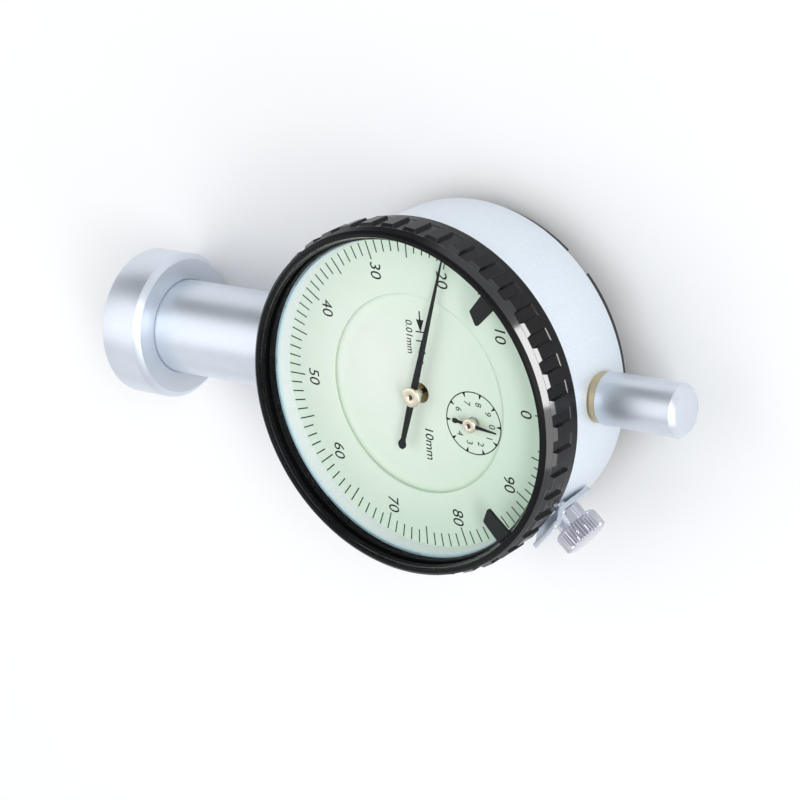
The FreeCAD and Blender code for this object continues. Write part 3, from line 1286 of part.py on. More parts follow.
# Bezel clamp: a cranked sheet bracket and its knurled thumb screw
LEG_INNER = "case_radius + clamp_leg_gap"
ARM_INNER = "tooth_radius + clamp_arm_gap"
bracket_corners = [
    (LEG_INNER, "clamp_leg_back"),
    (LEG_INNER + " + clamp_sheet", "clamp_leg_back"),
    (LEG_INNER + " + clamp_sheet", "clamp_leg_front"),
    (ARM_INNER + " + clamp_sheet", "clamp_arm_back"),
    (ARM_INNER + " + clamp_sheet", "clamp_arm_front"),
    (ARM_INNER, "clamp_arm_front"),
    (ARM_INNER, "clamp_arm_back"),
    (LEG_INNER, "clamp_leg_front"),
]
bracket_place = dict(
    x="dial_axis + clamp_offset * sin(clamp_angle)",
    y="-clamp_offset * cos(clamp_angle)",
    z="dial_height",
    turn="clamp_angle",
)
bracket_body = new_body("bracket", bracket_place)
bracket_sketch = outline(bracket_body, "bracket_profile", "XZ_Plane", bracket_corners)
bracket_pad = bracket_body.newObject("PartDesign::Pad", "bracket_pad")
bracket_pad.Profile = bracket_sketch
bracket_pad.Midplane = True
bind(bracket_pad, "Length", "clamp_half_width * 2")
doc.recompute()


def edge_names(shape, test):
    return ["Edge%d" % (i + 1) for i, edge in enumerate(shape.Edges) if test(edge)]


def at_bend(edge, corner):
    """True for the edge along Y at one of the profile's corners."""
    x, z = (read(value) for value in corner)
    return all(abs(p.X - x) < 1e-3 and abs(p.Z - z) < 1e-3 for p in edge.Vertexes)


bends = bracket_body.newObject("PartDesign::Fillet", "bracket_bends")
pad_shape = bracket_pad.Shape
bend_corners = bracket_corners[2:4] + bracket_corners[6:]
bends.Base = (bracket_pad, edge_names(pad_shape, lambda edge: any(at_bend(edge, c) for c in bend_corners)))
bind(bends, "Radius", "clamp_bend")
doc.recompute()


def end_corner(edge):
    """Edges through the sheet at the four corners of the bracket."""
    ends = [vertex.Point for vertex in edge.Vertexes]
    half = read("clamp_half_width")
    levels = (read("clamp_leg_back"), read("clamp_arm_front"))
    at_side = any(all(abs(p.y - side) < 1e-3 for p in ends) for side in (-half, half))
    at_end = any(all(abs(p.z - level) < 1e-3 for p in ends) for level in levels)
    return at_side and at_end


corners = bracket_body.newObject("PartDesign::Fillet", "bracket_corners")
corners.Base = (bends, edge_names(bends.Shape, end_corner))
bind(corners, "Radius", "clamp_corner")
bracket_hole = rod("bracket_hole", "clamp_shank + 0.15", "case_radius", LEG_INNER + " + clamp_sheet + 0.1", clamp_axis)
node(cut("bracket_body_cut", bracket_body, bracket_hole), "clamp_bracket")

NECK_START = LEG_INNER + " + clamp_sheet"
HEAD_START = NECK_START + " + clamp_neck_length"
HEAD_END = HEAD_START + " + clamp_head_length"
screw_profile = [
    (CASE_INNER + " + 0.2", "0"),
    (CASE_INNER + " + 0.2", "clamp_shank"),
    (NECK_START, "clamp_shank"),
    (NECK_START, "clamp_neck"),
    (HEAD_START, "clamp_neck"),
    (HEAD_START, "clamp_head - knurl_depth - 0.3"),
    (HEAD_START + " + 0.3", "clamp_head - knurl_depth"),
    (HEAD_END, "clamp_head - knurl_depth"),
    (HEAD_END + " + clamp_dome", "clamp_head * 0.6"),
    (HEAD_END + " + clamp_dome + 0.1", "0"),
]
clamp_core = turned("clamp_core", "H_Axis", screw_profile, clamp_axis)


def knurl():
    """Ridges of the head, as one star-shaped ring between two bevels."""
    count = int(read("knurl_count"))
    crown = read("clamp_head")
    root = crown - read("knurl_depth")
    length = read("clamp_head_length")
    points = []
    for ridge in range(count):
        for part, radius in ((-0.5, root), (-0.12, crown), (0.12, crown)):
            x, y = polar(radius, 360.0 * (ridge + part) / count)
            points.append(Vector(x, y, 0))
    points.append(points[0])
    star = Part.Face(Part.makePolygon(points)).extrude(Vector(0, 0, length))
    star = star.common(Part.makeCone(root, root + length, length))
    star = star.common(Part.makeCone(crown + length, crown - 0.3, length + 0.3, Vector(0, 0, -0.3)))
    star.rotate(Vector(), Vector(0, 1, 0), 90)
    star.translate(Vector(read(HEAD_START), 0, 0))
    star.rotate(Vector(), Vector(0, 0, 1), read("clamp_angle"))
    star.translate(Vector(read("dial_axis"), 0, read("dial_height + clamp_screw_level")))
    return star


node(fuse("clamp_screw_body", clamp_core, group("knurl_ring", [knurl()])), "clamp_screw")

# Checks, then one file for each node
doc.recompute()
for item in doc.Objects:
    if "Invalid" in item.State or "Error" in item.State:
        raise RuntimeError("%s did not compute: %s" % (item.Name, item.State))
unsound = [i.Label for i in NODES if i.Shape.isNull() or not i.Shape.isValid() or not i.Shape.Solids]
if unsound:
    raise RuntimeError("no sound shape: " + ", ".join(unsound))
for item in NODES:
    item.Shape.exportStep("parts/%s.step" % item.Label)
    print("%-24s %d solid(s) %10.2f mm3" % (item.Label, len(item.Shape.Solids), item.Shape.Volume))
print(len(NODES), "nodes")
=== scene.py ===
import math

import bmesh
import bpy
from mathutils import Matrix, Vector


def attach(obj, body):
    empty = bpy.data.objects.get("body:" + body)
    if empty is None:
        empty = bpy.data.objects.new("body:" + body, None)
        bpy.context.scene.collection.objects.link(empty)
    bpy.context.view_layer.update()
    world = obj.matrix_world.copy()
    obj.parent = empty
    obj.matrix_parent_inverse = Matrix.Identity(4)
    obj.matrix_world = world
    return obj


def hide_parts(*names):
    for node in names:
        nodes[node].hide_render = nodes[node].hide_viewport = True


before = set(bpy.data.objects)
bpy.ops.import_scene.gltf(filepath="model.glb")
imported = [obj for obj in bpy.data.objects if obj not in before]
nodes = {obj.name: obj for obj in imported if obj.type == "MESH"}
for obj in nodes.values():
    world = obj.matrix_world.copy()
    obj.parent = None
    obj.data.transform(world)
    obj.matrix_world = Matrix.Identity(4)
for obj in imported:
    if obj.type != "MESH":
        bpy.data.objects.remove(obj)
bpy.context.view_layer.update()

# The pieces are given in millimetres, as in the drawing. Blender, the camera and the lights are in metres.
MM = 0.001
scene = bpy.context.scene

DIAL = Vector((65.6, 0, 11.3))
SMALL_DIAL = Vector((65.6 + 10.0371, -3.47, 11.3))
CLAMP_ANGLE = math.radians(-42.6)
CLAMP_LEVEL = 2.85
DIAL_TURN = math.radians(-90)
# Middle of the pool of light painted on the dial
PAINTED_LIGHT_SPOT = DIAL + Vector((-9, 4, 0))


# Materials


class Value:
    """A shader socket that takes part in plain arithmetic."""

    def __init__(self, finish, socket):
        self.finish = finish
        self.socket = socket

    def math(self, operation, first, second):
        return self.finish.node("ShaderNodeMath", {"operation": operation}, {0: first, 1: second})[0]

    def __add__(self, other):
        return self.math("ADD", self, other)

    def __radd__(self, other):
        return self.math("ADD", other, self)

    def __sub__(self, other):
        return self.math("SUBTRACT", self, other)

    def __rsub__(self, other):
        return self.math("SUBTRACT", other, self)

    def __mul__(self, other):
        return self.math("MULTIPLY", self, other)

    def __rmul__(self, other):
        return self.math("MULTIPLY", other, self)


class Outputs:
    """The outputs of one node, each ready for arithmetic."""

    def __init__(self, finish, node):
        self.finish = finish
        self.node = node

    def __getitem__(self, key):
        return Value(self.finish, self.node.outputs[key])


class Finish:
    """One material: a Principled surface whose sockets are set or fed."""

    def __init__(self, name, **fixed):
        self.material = bpy.data.materials.new(name)
        self.material.use_nodes = True
        self.tree = self.material.node_tree
        self.surface = self.tree.nodes["Principled BSDF"]
        self.place = self.node("ShaderNodeTexCoord", {}, {})["Object"]
        for socket, value in fixed.items():
            self.surface.inputs[socket.replace("_", " ")].default_value = value

    def node(self, kind, settings, sockets):
        node = self.tree.nodes.new(kind)
        for name, value in settings.items():
            setattr(node, name, value)
        for key, value in sockets.items():
            self.join(node.inputs[key], value)
        return Outputs(self, node)

    def join(self, socket, value):
        if isinstance(value, Value):
            self.tree.links.new(value.socket, socket)
        else:
            socket.default_value = value

    def feed(self, **sockets):
        for socket, value in sockets.items():
            self.join(self.surface.inputs[socket.replace("_", " ")], value)

    def stretched(self, scale, centre=(0, 0, 0)):
        """Object coordinates counted from a centre in mm, with a scale along each axis."""
        shift = [-c * s * MM for c, s in zip(centre, scale)]
        return self.node("ShaderNodeMapping", {}, {"Vector": self.place, "Location": shift, "Scale": scale})[0]

    def from_dial(self, across=1000, up=1000):
        """Millimetres from the middle of the dial."""
        return self.stretched((across, across, up), DIAL)

    def ramp(self, value, start, end):
        """Climbs from 0 to 1 between the start and the end."""
        return self.node("ShaderNodeMapRange", {}, {"Value": value, 1: start, 2: end})[0]

    def level(self):
        """Height over the dial in mm."""
        return self.node("ShaderNodeSeparateXYZ", {}, {0: self.from_dial()})[2]

    def noise(self, scale, detail=3.0, where=None):
        sockets = {"Vector": where or self.place, "Scale": scale, "Detail": detail}
        return self.node("ShaderNodeTexNoise", {}, sockets)["Fac"]

    def mix(self, factor, first, second):
        settings = {"data_type": "RGBA"}
        return self.node("ShaderNodeMix", settings, {0: factor, 6: first, 7: second})[2]

    def bump(self, height, strength, distance):
        sockets = {"Height": height, "Strength": strength, "Distance": distance * MM}
        self.feed(Normal=self.node("ShaderNodeBump", {}, sockets)[0])


def turned_metal(name, colour, roughness, along=(1, 0, 0), line=0.35, metallic=1.0, blast=0.0):
    """Metal off the lathe: fine rings across the axis, a little blotchiness in the gloss."""
    finish = Finish(name, Metallic=metallic)
    scale = [9000 if a else 120 for a in along]
    rings = finish.noise(1.0, 2.0, finish.stretched(scale))
    grain = finish.noise(3200, 2.0)
    cloud = finish.noise(260, 3.0)
    fleck = cloud * (1 - 0.7 * blast) + grain * (0.7 * blast)
    dark = [c * (0.95 - 0.12 * blast) for c in colour]
    light = [c * (1 + 0.06 * blast) for c in colour]
    tone = finish.mix(fleck, (*dark, 1), (*light, 1))
    finish.feed(Base_Color=tone, Roughness=roughness - 0.05 + 0.06 * rings + 0.06 * cloud)
    finish.bump(rings * (1 - blast) + grain * blast, line, 0.004 + 0.012 * blast)
    return finish.material


def grained_paint(name, colour, dark, roughness, metallic, grain, depth):
    """Sprayed or blasted surface with a fine even grain."""
    finish = Finish(name, Metallic=metallic)
    speck = finish.noise(grain, 2.0)
    cloud = finish.noise(90, 3.0)
    tone = finish.mix(speck * 0.8 + cloud * 0.3, (*dark, 1), (*colour, 1))
    finish.feed(Base_Color=tone, Roughness=roughness - 0.06 + 0.12 * speck)
    finish.bump(speck, 0.35, depth)
    return finish.material


def moulded_black(name, colour, roughness, gloss, cone=None, notch=None):
    """Black lacquered metal with a faint orange peel.

    It is polished where radius and level add up to a cone's sum, and less so where they add up to a notch's.
    """
    finish = Finish(name, Coat_Roughness=0.09, Coat_IOR=1.75, Specular_IOR_Level=gloss)
    peel = finish.noise(1500, 2.0)
    cloud = finish.noise(150, 4.0)
    tone = finish.mix(cloud, (*colour, 1), (*[c * 1.7 for c in colour], 1))
    finish.feed(Base_Color=tone, Roughness=roughness - 0.05 + 0.1 * cloud)
    finish.bump(peel, 0.12, 0.01)
    if cone:
        reach = finish.node("ShaderNodeVectorMath", {"operation": "LENGTH"}, {0: finish.from_dial(up=0)})
        place = reach["Value"] + finish.level()
        polished = finish.ramp(place, cone - 0.12, cone - 0.04) - finish.ramp(place, cone + 0.06, cone + 0.16)
        behind = finish.ramp(place, notch - 0.06, notch - 0.02) - finish.ramp(place, notch + 0.02, notch + 0.06)
        finish.feed(Coat_Weight=polished + 0.6 * behind)
    return finish.material


def printed_dial(name, centre, edge, reach):
    """Pale mint lacquer with painted light: palest in a painted pool of light off the middle, darker towards the
    rim as painted shade, with the faintest mottling.
    """
    finish = Finish(name)
    # Painted pool of light round a spot off the middle, fading into painted shade towards the rim
    painted_light_pool = finish.node(
        "ShaderNodeTexGradient",
        {"gradient_type": "SPHERICAL"},
        {"Vector": finish.stretched([1 / (reach * MM)] * 2 + [0], PAINTED_LIGHT_SPOT)},
    )["Fac"]
    mottle = finish.noise(500, 4.0)
    tone = finish.mix(painted_light_pool * 0.9 + mottle * 0.2, (*edge, 1), (*centre, 1))
    finish.feed(Base_Color=tone, Roughness=0.42 + 0.1 * mottle)
    finish.bump(mottle, 0.05, 0.01)
    return finish.material


def dial_ink():
    """Near-black printing ink."""
    finish = Finish("dial_ink", Specular_IOR_Level=0.2)
    flow = finish.noise(4000, 2.0)
    finish.feed(Base_Color=finish.mix(flow, (0.004, 0.005, 0.006, 1), (0.010, 0.012, 0.013, 1)))
    finish.feed(Roughness=0.45 + 0.1 * flow)
    return finish.material


def pale_spacer():
    """White ring with a faint blue band painted just under the crystal, a painted reflection of the crystal's
    edge.
    """
    finish = Finish("pale_spacer")
    # Painted reflection: the blue band where the crystal's edge glints
    painted_crystal_glint = finish.ramp(finish.level(), 1.9, 2.5)
    grain = finish.noise(2600, 3.0)
    white = finish.mix(grain, (0.80, 0.86, 0.86, 1), (0.93, 0.97, 0.97, 1))
    finish.feed(Base_Color=finish.mix(painted_crystal_glint, white, (0.62, 0.83, 0.92, 1)), Roughness=0.3 + 0.15 * grain)
    finish.bump(grain, 0.1, 0.01)
    return finish.material


def clear_crystal():
    """Thin clear sheet with the faintest haze."""
    finish = Finish("clear_crystal", Roughness=0.03, IOR=1.49)
    haze = finish.noise(60, 2.0)
    tint = finish.mix(haze, (0.02, 0.03, 0.03, 1), (0.05, 0.06, 0.06, 1))
    finish.feed(Base_Color=tint, Alpha=0.02 + 0.02 * haze)
    return finish.material


def polished_ruby():
    """Deep red synthetic jewel."""
    finish = Finish("polished_ruby", Roughness=0.08, Coat_Weight=0.6)
    depth = finish.noise(1200, 2.0)
    finish.feed(Base_Color=finish.mix(depth, (0.30, 0.01, 0.03, 1), (0.65, 0.04, 0.10, 1)))
    return finish.material


SATIN_STEEL = turned_metal("satin_steel", (0.73, 0.78, 0.85), 0.38, line=0.8, metallic=0.85, blast=0.7)
GROUND_STEEL = turned_metal("ground_steel", (0.70, 0.72, 0.74), 0.2)
BRIGHT_PLATE = turned_metal("bright_plate", (0.66, 0.66, 0.72), 0.14, (0, 0, 1), 0.15)
BRASS = turned_metal("turned_brass", (0.80, 0.62, 0.30), 0.24)
PALE_BRASS = turned_metal("pale_brass", (0.86, 0.78, 0.62), 0.24, (0, 0, 1), 0.2)
DULL_BRASS = turned_metal("dull_brass", (0.60, 0.51, 0.34), 0.4, metallic=0.85, blast=0.8)
DARK_STEEL = turned_metal("dark_steel", (0.10, 0.10, 0.11), 0.3, (0, 0, 1))
SPRING_STEEL = turned_metal("spring_steel", (0.55, 0.57, 0.60), 0.25)
CASE_SILVER = grained_paint("case_silver", (0.86, 0.92, 0.97), (0.66, 0.73, 0.80), 0.42, 0.45, 3000, 0.02)
BEZEL_BLACK = moulded_black("bezel_black", (0.003, 0.003, 0.0035), 0.27, 0.16, cone=32.2, notch=27.2)
COVER_BLACK = grained_paint("cover_black", (0.030, 0.030, 0.032), (0.012, 0.012, 0.013), 0.5, 0.0, 2500, 0.02)
HAND_BLACK = moulded_black("hand_black", (0.006, 0.007, 0.008), 0.45, 0.25)
# The dial's pale tone is painted light and its deep tone is painted shade; the mint hue is its own
DIAL_MINT = printed_dial("dial_mint", (0.88, 0.95, 0.85), (0.53, 0.77, 0.56), 50)
INK = dial_ink()
SPACER_WHITE = pale_spacer()
CRYSTAL = clear_crystal()
RUBY = polished_ruby()


# Shapes


def bevel_sharp(mesh, width, angle=25, segments=2):
    """Rounds every edge that turns by more than an angle."""
    limit = math.radians(angle)
    edges = [e for e in mesh.edges if e.is_manifold and e.calc_face_angle() > limit]
    bmesh.ops.bevel(
        mesh, geom=edges, offset=width * MM, offset_type="OFFSET", segments=segments,
        profile=0.5, affect="EDGES", clamp_overlap=True, material=-1,
    )


def turned(profile, segments=192, bevel=0.08):
    """A solid turned about Z from pairs of radius and level."""
    mesh = bmesh.new()
    points = [mesh.verts.new((radius * MM, 0, level * MM)) for radius, level in profile]
    pairs = list(zip(points, points[1:]))
    if profile[0][0] or profile[-1][0]:
        pairs.append((points[-1], points[0]))
    edges = [mesh.edges.new(pair) for pair in pairs]
    bmesh.ops.spin(
        mesh, geom=points + edges, cent=(0, 0, 0), axis=(0, 0, 1), angle=math.tau, steps=segments,
        use_merge=True,
    )
    bmesh.ops.remove_doubles(mesh, verts=mesh.verts, dist=1e-7)
    bmesh.ops.recalc_face_normals(mesh, faces=mesh.faces)
    if bevel:
        bevel_sharp(mesh, bevel)
    return mesh


def along_spindle(start=0.0):
    """Turns a piece about Z into one about the spindle axis, its level 0 at start."""
    return Matrix.Translation((start * MM, 0, 0)) @ Matrix.Rotation(math.radians(90), 4, "Y")


def on_dial(turn=0.0, centre=DIAL):
    """Sets a piece about Z on the dial's axis, its level 0 at the dial's face."""
    return Matrix.Translation(centre * MM) @ Matrix.Rotation(turn, 4, "Z")


def finished(name, mesh, body, material, stands_for=(), place=None, sharp=14):
    """Makes a bmesh an object, smooth but for its sharp edges, and hands it to its body."""
    if place:
        bmesh.ops.transform(mesh, matrix=place, verts=mesh.verts)
    data = bpy.data.meshes.new(name)
    mesh.to_mesh(data)
    mesh.free()
    data.shade_smooth()
    data.set_sharp_from_angle(angle=math.radians(sharp))
    data.materials.append(material)
    piece = bpy.data.objects.new(name, data)
    scene.collection.objects.link(piece)
    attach(piece, body)
    if stands_for:
        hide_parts(*stands_for)
    return piece


def carved(mesh, cutters):
    """Subtracts the cutters from a mesh."""
    def held(source):
        data = bpy.data.meshes.new("carving")
        source.to_mesh(data)
        source.free()
        thing = bpy.data.objects.new("carving", data)
        scene.collection.objects.link(thing)
        return thing

    blank = held(mesh)
    tools = [held(cutter) for cutter in cutters]
    for tool in tools:
        cut = blank.modifiers.new("cut", "BOOLEAN")
        cut.operation = "DIFFERENCE"
        cut.solver = "EXACT"
        cut.object = tool
    bpy.context.view_layer.update()
    shaped = blank.evaluated_get(bpy.context.evaluated_depsgraph_get())
    result = bmesh.new()
    result.from_mesh(shaped.to_mesh())
    shaped.to_mesh_clear()
    for thing in [blank] + tools:
        bpy.data.objects.remove(thing)
    bmesh.ops.remove_doubles(result, verts=result.verts, dist=1e-7)
    return result


def refined(name, node, body, material, bevel=0.05, sharp=35):
    """A merged, smoothed and edge-rounded copy of a solid."""
    mesh = bmesh.new()
    mesh.from_mesh(nodes[node].data)
    bmesh.ops.remove_doubles(mesh, verts=mesh.verts, dist=1e-7)
    bmesh.ops.dissolve_limit(
        mesh, angle_limit=math.radians(1), verts=mesh.verts, edges=mesh.edges, delimit={"NORMAL"}
    )
    if bevel:
        bevel_sharp(mesh, bevel, 35)
    return finished(name, mesh, body, material, (node,), None, sharp)


def extruded(corners, bottom, top):
    """A flat plate from its outline in plan."""
    mesh = bmesh.new()
    face = mesh.faces.new([mesh.verts.new((x * MM, y * MM, bottom * MM)) for x, y in corners])
    raised = bmesh.ops.extrude_face_region(mesh, geom=[face])["geom"]
    lifted = [item for item in raised if isinstance(item, bmesh.types.BMVert)]
    bmesh.ops.translate(mesh, verts=lifted, vec=(0, 0, (top - bottom) * MM))
    bmesh.ops.recalc_face_normals(mesh, faces=mesh.faces)
    return mesh


# Depth base, sleeve, stem and spindle line
BASE = [
    (3.0, 0), (12.25, 0), (12.5, 0.25), (12.5, 7.05), (11.55, 8.0),
    (8.21, 8.0), (8.01, 7.8), (8.01, 3.0), (3.0, 3.0),
]
finished(
    "turned_base", turned(BASE, bevel=0.04), "case", SATIN_STEEL,
    ("depth_base",), along_spindle(),
)
SLEEVE = [(5.6, 3.0), (8.0, 3.0), (8.0, 38.25), (4.01, 38.25), (4.01, 21.0), (5.6, 19.0)]
finished(
    "turned_sleeve", turned(SLEEVE, bevel=0.05), "case", SATIN_STEEL,
    ("sleeve_tube",), along_spindle(),
)
STEM = [(2.7, 20.0), (3.6, 20.0), (4.0, 20.4), (4.0, 42.0), (5.2, 42.0), (5.2, 43.0), (2.7, 43.0)]
finished("turned_stem", turned(STEM), "case", SATIN_STEEL, ("stem",), along_spindle())
ROD = [(0, -8.6), (2.0, -8.6), (2.0, 12.0), (1.25, 12.0), (1.25, 17.0), (0, 17.0)]
finished(
    "ground_rod", turned(ROD, 96), "spindle", GROUND_STEEL,
    ("extension_rod",), along_spindle(),
)
TIP = [(0, -10.2)]
TIP += [(1.5 * math.sin(a), -8.7 - 1.5 * math.cos(a)) for a in (0.25, 0.5, 0.75, 1.0)]
TIP += [(1.55, -9.2), (2.0, -8.6), (0.8, -8.6), (0.8, -4.0), (0, -4.0)]
finished(
    "ball_tip", turned(TIP, 96, 0.04), "spindle", BRIGHT_PLATE,
    ("contact_point",), along_spindle(), 30,
)

# Upper bush and cap
COLLAR = [
    (2.03, 22.4), (3.1, 22.4), (3.1, 26.55), (4.0, 26.55), (4.0, 28.0),
    (3.1, 28.0), (3.1, 32.0), (2.03, 32.0),
]
finished("brass_collar", turned(COLLAR), "case", DULL_BRASS, ("cap_bush",), along_spindle(DIAL.x))
CAP = [(3.11, 28.0), (4.05, 28.0), (4.2, 28.15), (4.2, 41.1), (3.4, 41.9), (0, 41.9)]
CAP_INSIDE = [(0, 40.7), (2.6, 40.7), (2.6, 32.01), (3.11, 32.01)]
finished(
    "turned_cap", turned(CAP + CAP_INSIDE, bevel=0.04), "case", SATIN_STEEL,
    ("spindle_cap",), along_spindle(DIAL.x),
)

# Case with its neck, deck and the flat recess round the upper bush
CASE = [
    (24.6, -18.1), (26.55, -18.1), (26.85, -17.8), (26.85, -3.15), (26.6, -2.9), (26.15, -2.9), (26.15, -2.5),
    (25.75, -2.5), (25.75, -1.7), (26.15, -1.7), (26.15, -1.3), (2.5, -1.3), (2.5, -3.3), (24.6, -3.3),
]
case_shell = turned(CASE, 256, 0.05)
bmesh.ops.transform(case_shell, matrix=on_dial(), verts=case_shell.verts)


def drill(radius, start, end, axis_turn=0.0, level=0.0):
    """A round cutter that points out of the case at an angle from the cap, from radius start to end."""
    tool = turned([(0, start), (radius, start), (radius, end), (0, end)], 96, 0)
    outward = Matrix.Rotation(axis_turn, 4, "Z") @ Matrix.Rotation(math.radians(90), 4, "Y")
    place = Matrix.Translation((DIAL.x * MM, 0, level * MM)) @ outward
    bmesh.ops.transform(tool, matrix=place, verts=tool.verts)
    return tool


tools = [
    drill(radius=4.3, start=26.55, end=29.0),
    drill(radius=3.11, start=22.0, end=29.0),
    drill(radius=4.01, start=22.0, end=29.0, axis_turn=math.pi),
    drill(radius=1.28, start=22.0, end=29.0, axis_turn=CLAMP_ANGLE, level=CLAMP_LEVEL),
]
finished("blasted_case", carved(case_shell, tools), "case", CASE_SILVER, ("case",))

# Back cover with its pry notches
COVER = [
    (0, -18.1), (25.95, -18.1), (25.95, -19.7), (25.65, -20.0), (19.2, -20.0), (18.8, -19.6), (0, -19.6),
]
cover_blank = turned(COVER, 256, 0.08)
bmesh.ops.transform(cover_blank, matrix=on_dial(), verts=cover_blank.verts)
notch_tools = []
for quarter in range(4):
    notch = bmesh.new()
    bmesh.ops.create_cube(notch, size=MM)
    bmesh.ops.scale(notch, vec=(2.0, 4.8, 3.0), verts=notch.verts)
    bevel_sharp(notch, 0.3)
    where = on_dial(math.radians(45 + 90 * quarter)) @ Matrix.Translation((25.7 * MM, 0, -19.0 * MM))
    bmesh.ops.transform(notch, matrix=where, verts=notch.verts)
    notch_tools.append(notch)
for n in range(4):
    x, y = 23.2 * math.cos(math.radians(22 + 90 * n)), 23.2 * math.sin(math.radians(22 + 90 * n))
    sink = turned([(0, -20.5), (1.72, -20.5), (1.72, -20.0), (0.82, -19.1), (0.82, -17.5), (0, -17.5)], 48, 0)
    bmesh.ops.transform(sink, matrix=on_dial() @ Matrix.Translation((x * MM, y * MM, 0)), verts=sink.verts)
    notch_tools.append(sink)
finished(
    "lacquered_cover", carved(cover_blank, notch_tools), "case", COVER_BLACK,
    ("back_cover",),
)

# Bezel: a turned ring with a ring of grip pads round it
BEZEL = [
    (26.2, -2.7), (27.95, -2.7), (28.1, -2.55), (28.1, -0.9), (27.92, -0.72), (28.1, -0.62), (28.1, 4.1),
    (28.02, 4.18), (27.35, 4.85), (27.9, 5.6), (27.4, 6.0), (27.16, 6.0), (27.12, 5.96), (27.08, 6.0),
    (26.9, 6.0), (26.4, 4.85), (26.75, 4.85),
    (26.75, 4.05), (26.06, 4.05), (25.85, 3.55), (26.2, 3.55),
]
bezel_mesh = turned(BEZEL, 344, 0.05)


def toothed_ring(count, share, slope, phase, root, crown, inner, bottom, top):
    """A closed ring with flat pads round its outside, sloped at the top."""
    mesh = bmesh.new()
    pitch = math.tau / count
    foot, edge = share / 2 + slope / 2, share / 2
    steps = (-foot, root), (-edge, crown), (edge, crown), (foot, root)
    rim = [(math.radians(phase) + pitch * (n + part), radius) for n in range(count) for part, radius in steps]
    columns = []
    for angle, radius in rim:
        way = Vector((math.cos(angle), math.sin(angle), 0)) * MM
        low, high = Vector((0, 0, bottom * MM)), Vector((0, 0, top * MM))
        sloped = high - Vector((0, 0, (radius - inner) * MM))
        spots = way * inner + low, way * radius + low, way * radius + sloped, way * inner + high
        columns.append([mesh.verts.new(spot) for spot in spots])
    for near, far in zip(columns, columns[1:] + columns[:1]):
        for n in range(4):
            mesh.faces.new((near[n], far[n], far[(n + 1) % 4], near[(n + 1) % 4]))
    bmesh.ops.recalc_face_normals(mesh, faces=mesh.faces)
    return mesh


def joined(first, *others):
    """Puts several meshes into the first."""
    for other in others:
        flat = bpy.data.meshes.new("part")
        other.to_mesh(flat)
        other.free()
        first.from_mesh(flat)
    return first


pads = toothed_ring(
    count=43, share=0.47, slope=0.12, phase=6.89, root=28.1, crown=28.6, inner=28.0, bottom=-0.4, top=4.18,
)
bevel_sharp(pads, 0.1, 20)
joined(bezel_mesh, pads)
finished("grip_bezel", bezel_mesh, "bezel", BEZEL_BLACK, ("bezel",), on_dial(), sharp=8)

# Crystal, spacer, dial ring and centre disc
crystal = turned([(0, 2.6), (26.15, 2.6), (26.15, 3.55), (0, 3.55)], 256, 0.05)
finished("clear_disc", crystal, "bezel", CRYSTAL, ("crystal",), on_dial())
spacer = turned([(25.3, 0), (26.15, 0), (26.15, 2.6), (25.7, 2.6)], 256, 0.03)
finished("white_spacer", spacer, "bezel", SPACER_WHITE, ("spacer_ring",), on_dial())
ring = turned([(16.35, -0.5), (26.15, -0.5), (26.15, 0), (16.35, 0)], 256, 0.06)
finished("printed_ring", ring, "bezel", DIAL_MINT, ("dial_ring",), on_dial())
disc = turned([(1.7, -1.3), (17.6, -1.3), (17.6, -0.8), (1.7, -0.8)], 256, 0.04)
small_hole = turned([(0, -3), (1.1, -3), (1.1, 1), (0, 1)], 64, 0)
bmesh.ops.translate(small_hole, verts=small_hole.verts, vec=(SMALL_DIAL - DIAL) * MM)
finished(
    "printed_centre", carved(disc, [small_hole]), "case", DIAL_MINT,
    ("dial_center",), on_dial(),
)


# Printing
FIGURE_HEIGHT = 0.72


def mark(mesh, width, start, end, angle, level):
    """A printed bar along a radius. Widths at its start and end may differ."""
    near, far = width if isinstance(width, tuple) else (width, width)
    corners = [(start, -near / 2), (end, -far / 2), (end, far / 2), (start, near / 2)]
    turn = Matrix.Rotation(angle, 4, "Z")
    points = [mesh.verts.new(turn @ Vector((x * MM, y * MM, level * MM))) for x, y in corners]
    mesh.faces.new(points)


def lettering(mesh, words, size, x, y, level, weight=0.0, slant=0.12, turn=DIAL_TURN):
    """Sets figures of a given height, centred at x, y of the dial and upright with zero on top."""
    curve = bpy.data.curves.new("words", "FONT")
    curve.body = words
    curve.size = size * MM / FIGURE_HEIGHT
    curve.align_x = "CENTER"
    curve.align_y = "CENTER"
    curve.shear = slant
    curve.offset = weight * MM
    curve.resolution_u = 5
    holder = bpy.data.objects.new("words", curve)
    scene.collection.objects.link(holder)
    bpy.context.view_layer.update()
    flat = bpy.data.meshes.new_from_object(holder.evaluated_get(bpy.context.evaluated_depsgraph_get()))
    bpy.data.objects.remove(holder)
    flat.transform(Matrix.Translation((x * MM, y * MM, level * MM)) @ Matrix.Rotation(turn, 4, "Z"))
    mesh.from_mesh(flat)


INK_LEVEL = 0.015
NUMBERS_RADIUS = 20.45
scale_print = bmesh.new()
for line in range(100):
    inner = 22.2 if line % 5 == 0 else 23.05
    mark(scale_print, 0.2, inner, 25.2, math.radians(3.6 * line), INK_LEVEL)
for ten in range(10):
    angle = math.radians(36 * ten)
    x, y = NUMBERS_RADIUS * math.cos(angle), NUMBERS_RADIUS * math.sin(angle)
    lettering(scale_print, str(10 * ten), 2.05, x, y, INK_LEVEL)
finished("scale_print", scale_print, "bezel", INK, (), on_dial())

CENTRE_LEVEL = -0.785
centre_print = bmesh.new()


def bar(mesh, x0, x1, y0, y1):
    """A printed bar on the centre disc, in dial directions: x to the right, y to zero."""
    spots = [(x0, y0), (x1, y0), (x1, y1), (x0, y1)]
    mesh.faces.new([mesh.verts.new((y * MM, -x * MM, CENTRE_LEVEL * MM)) for x, y in spots])


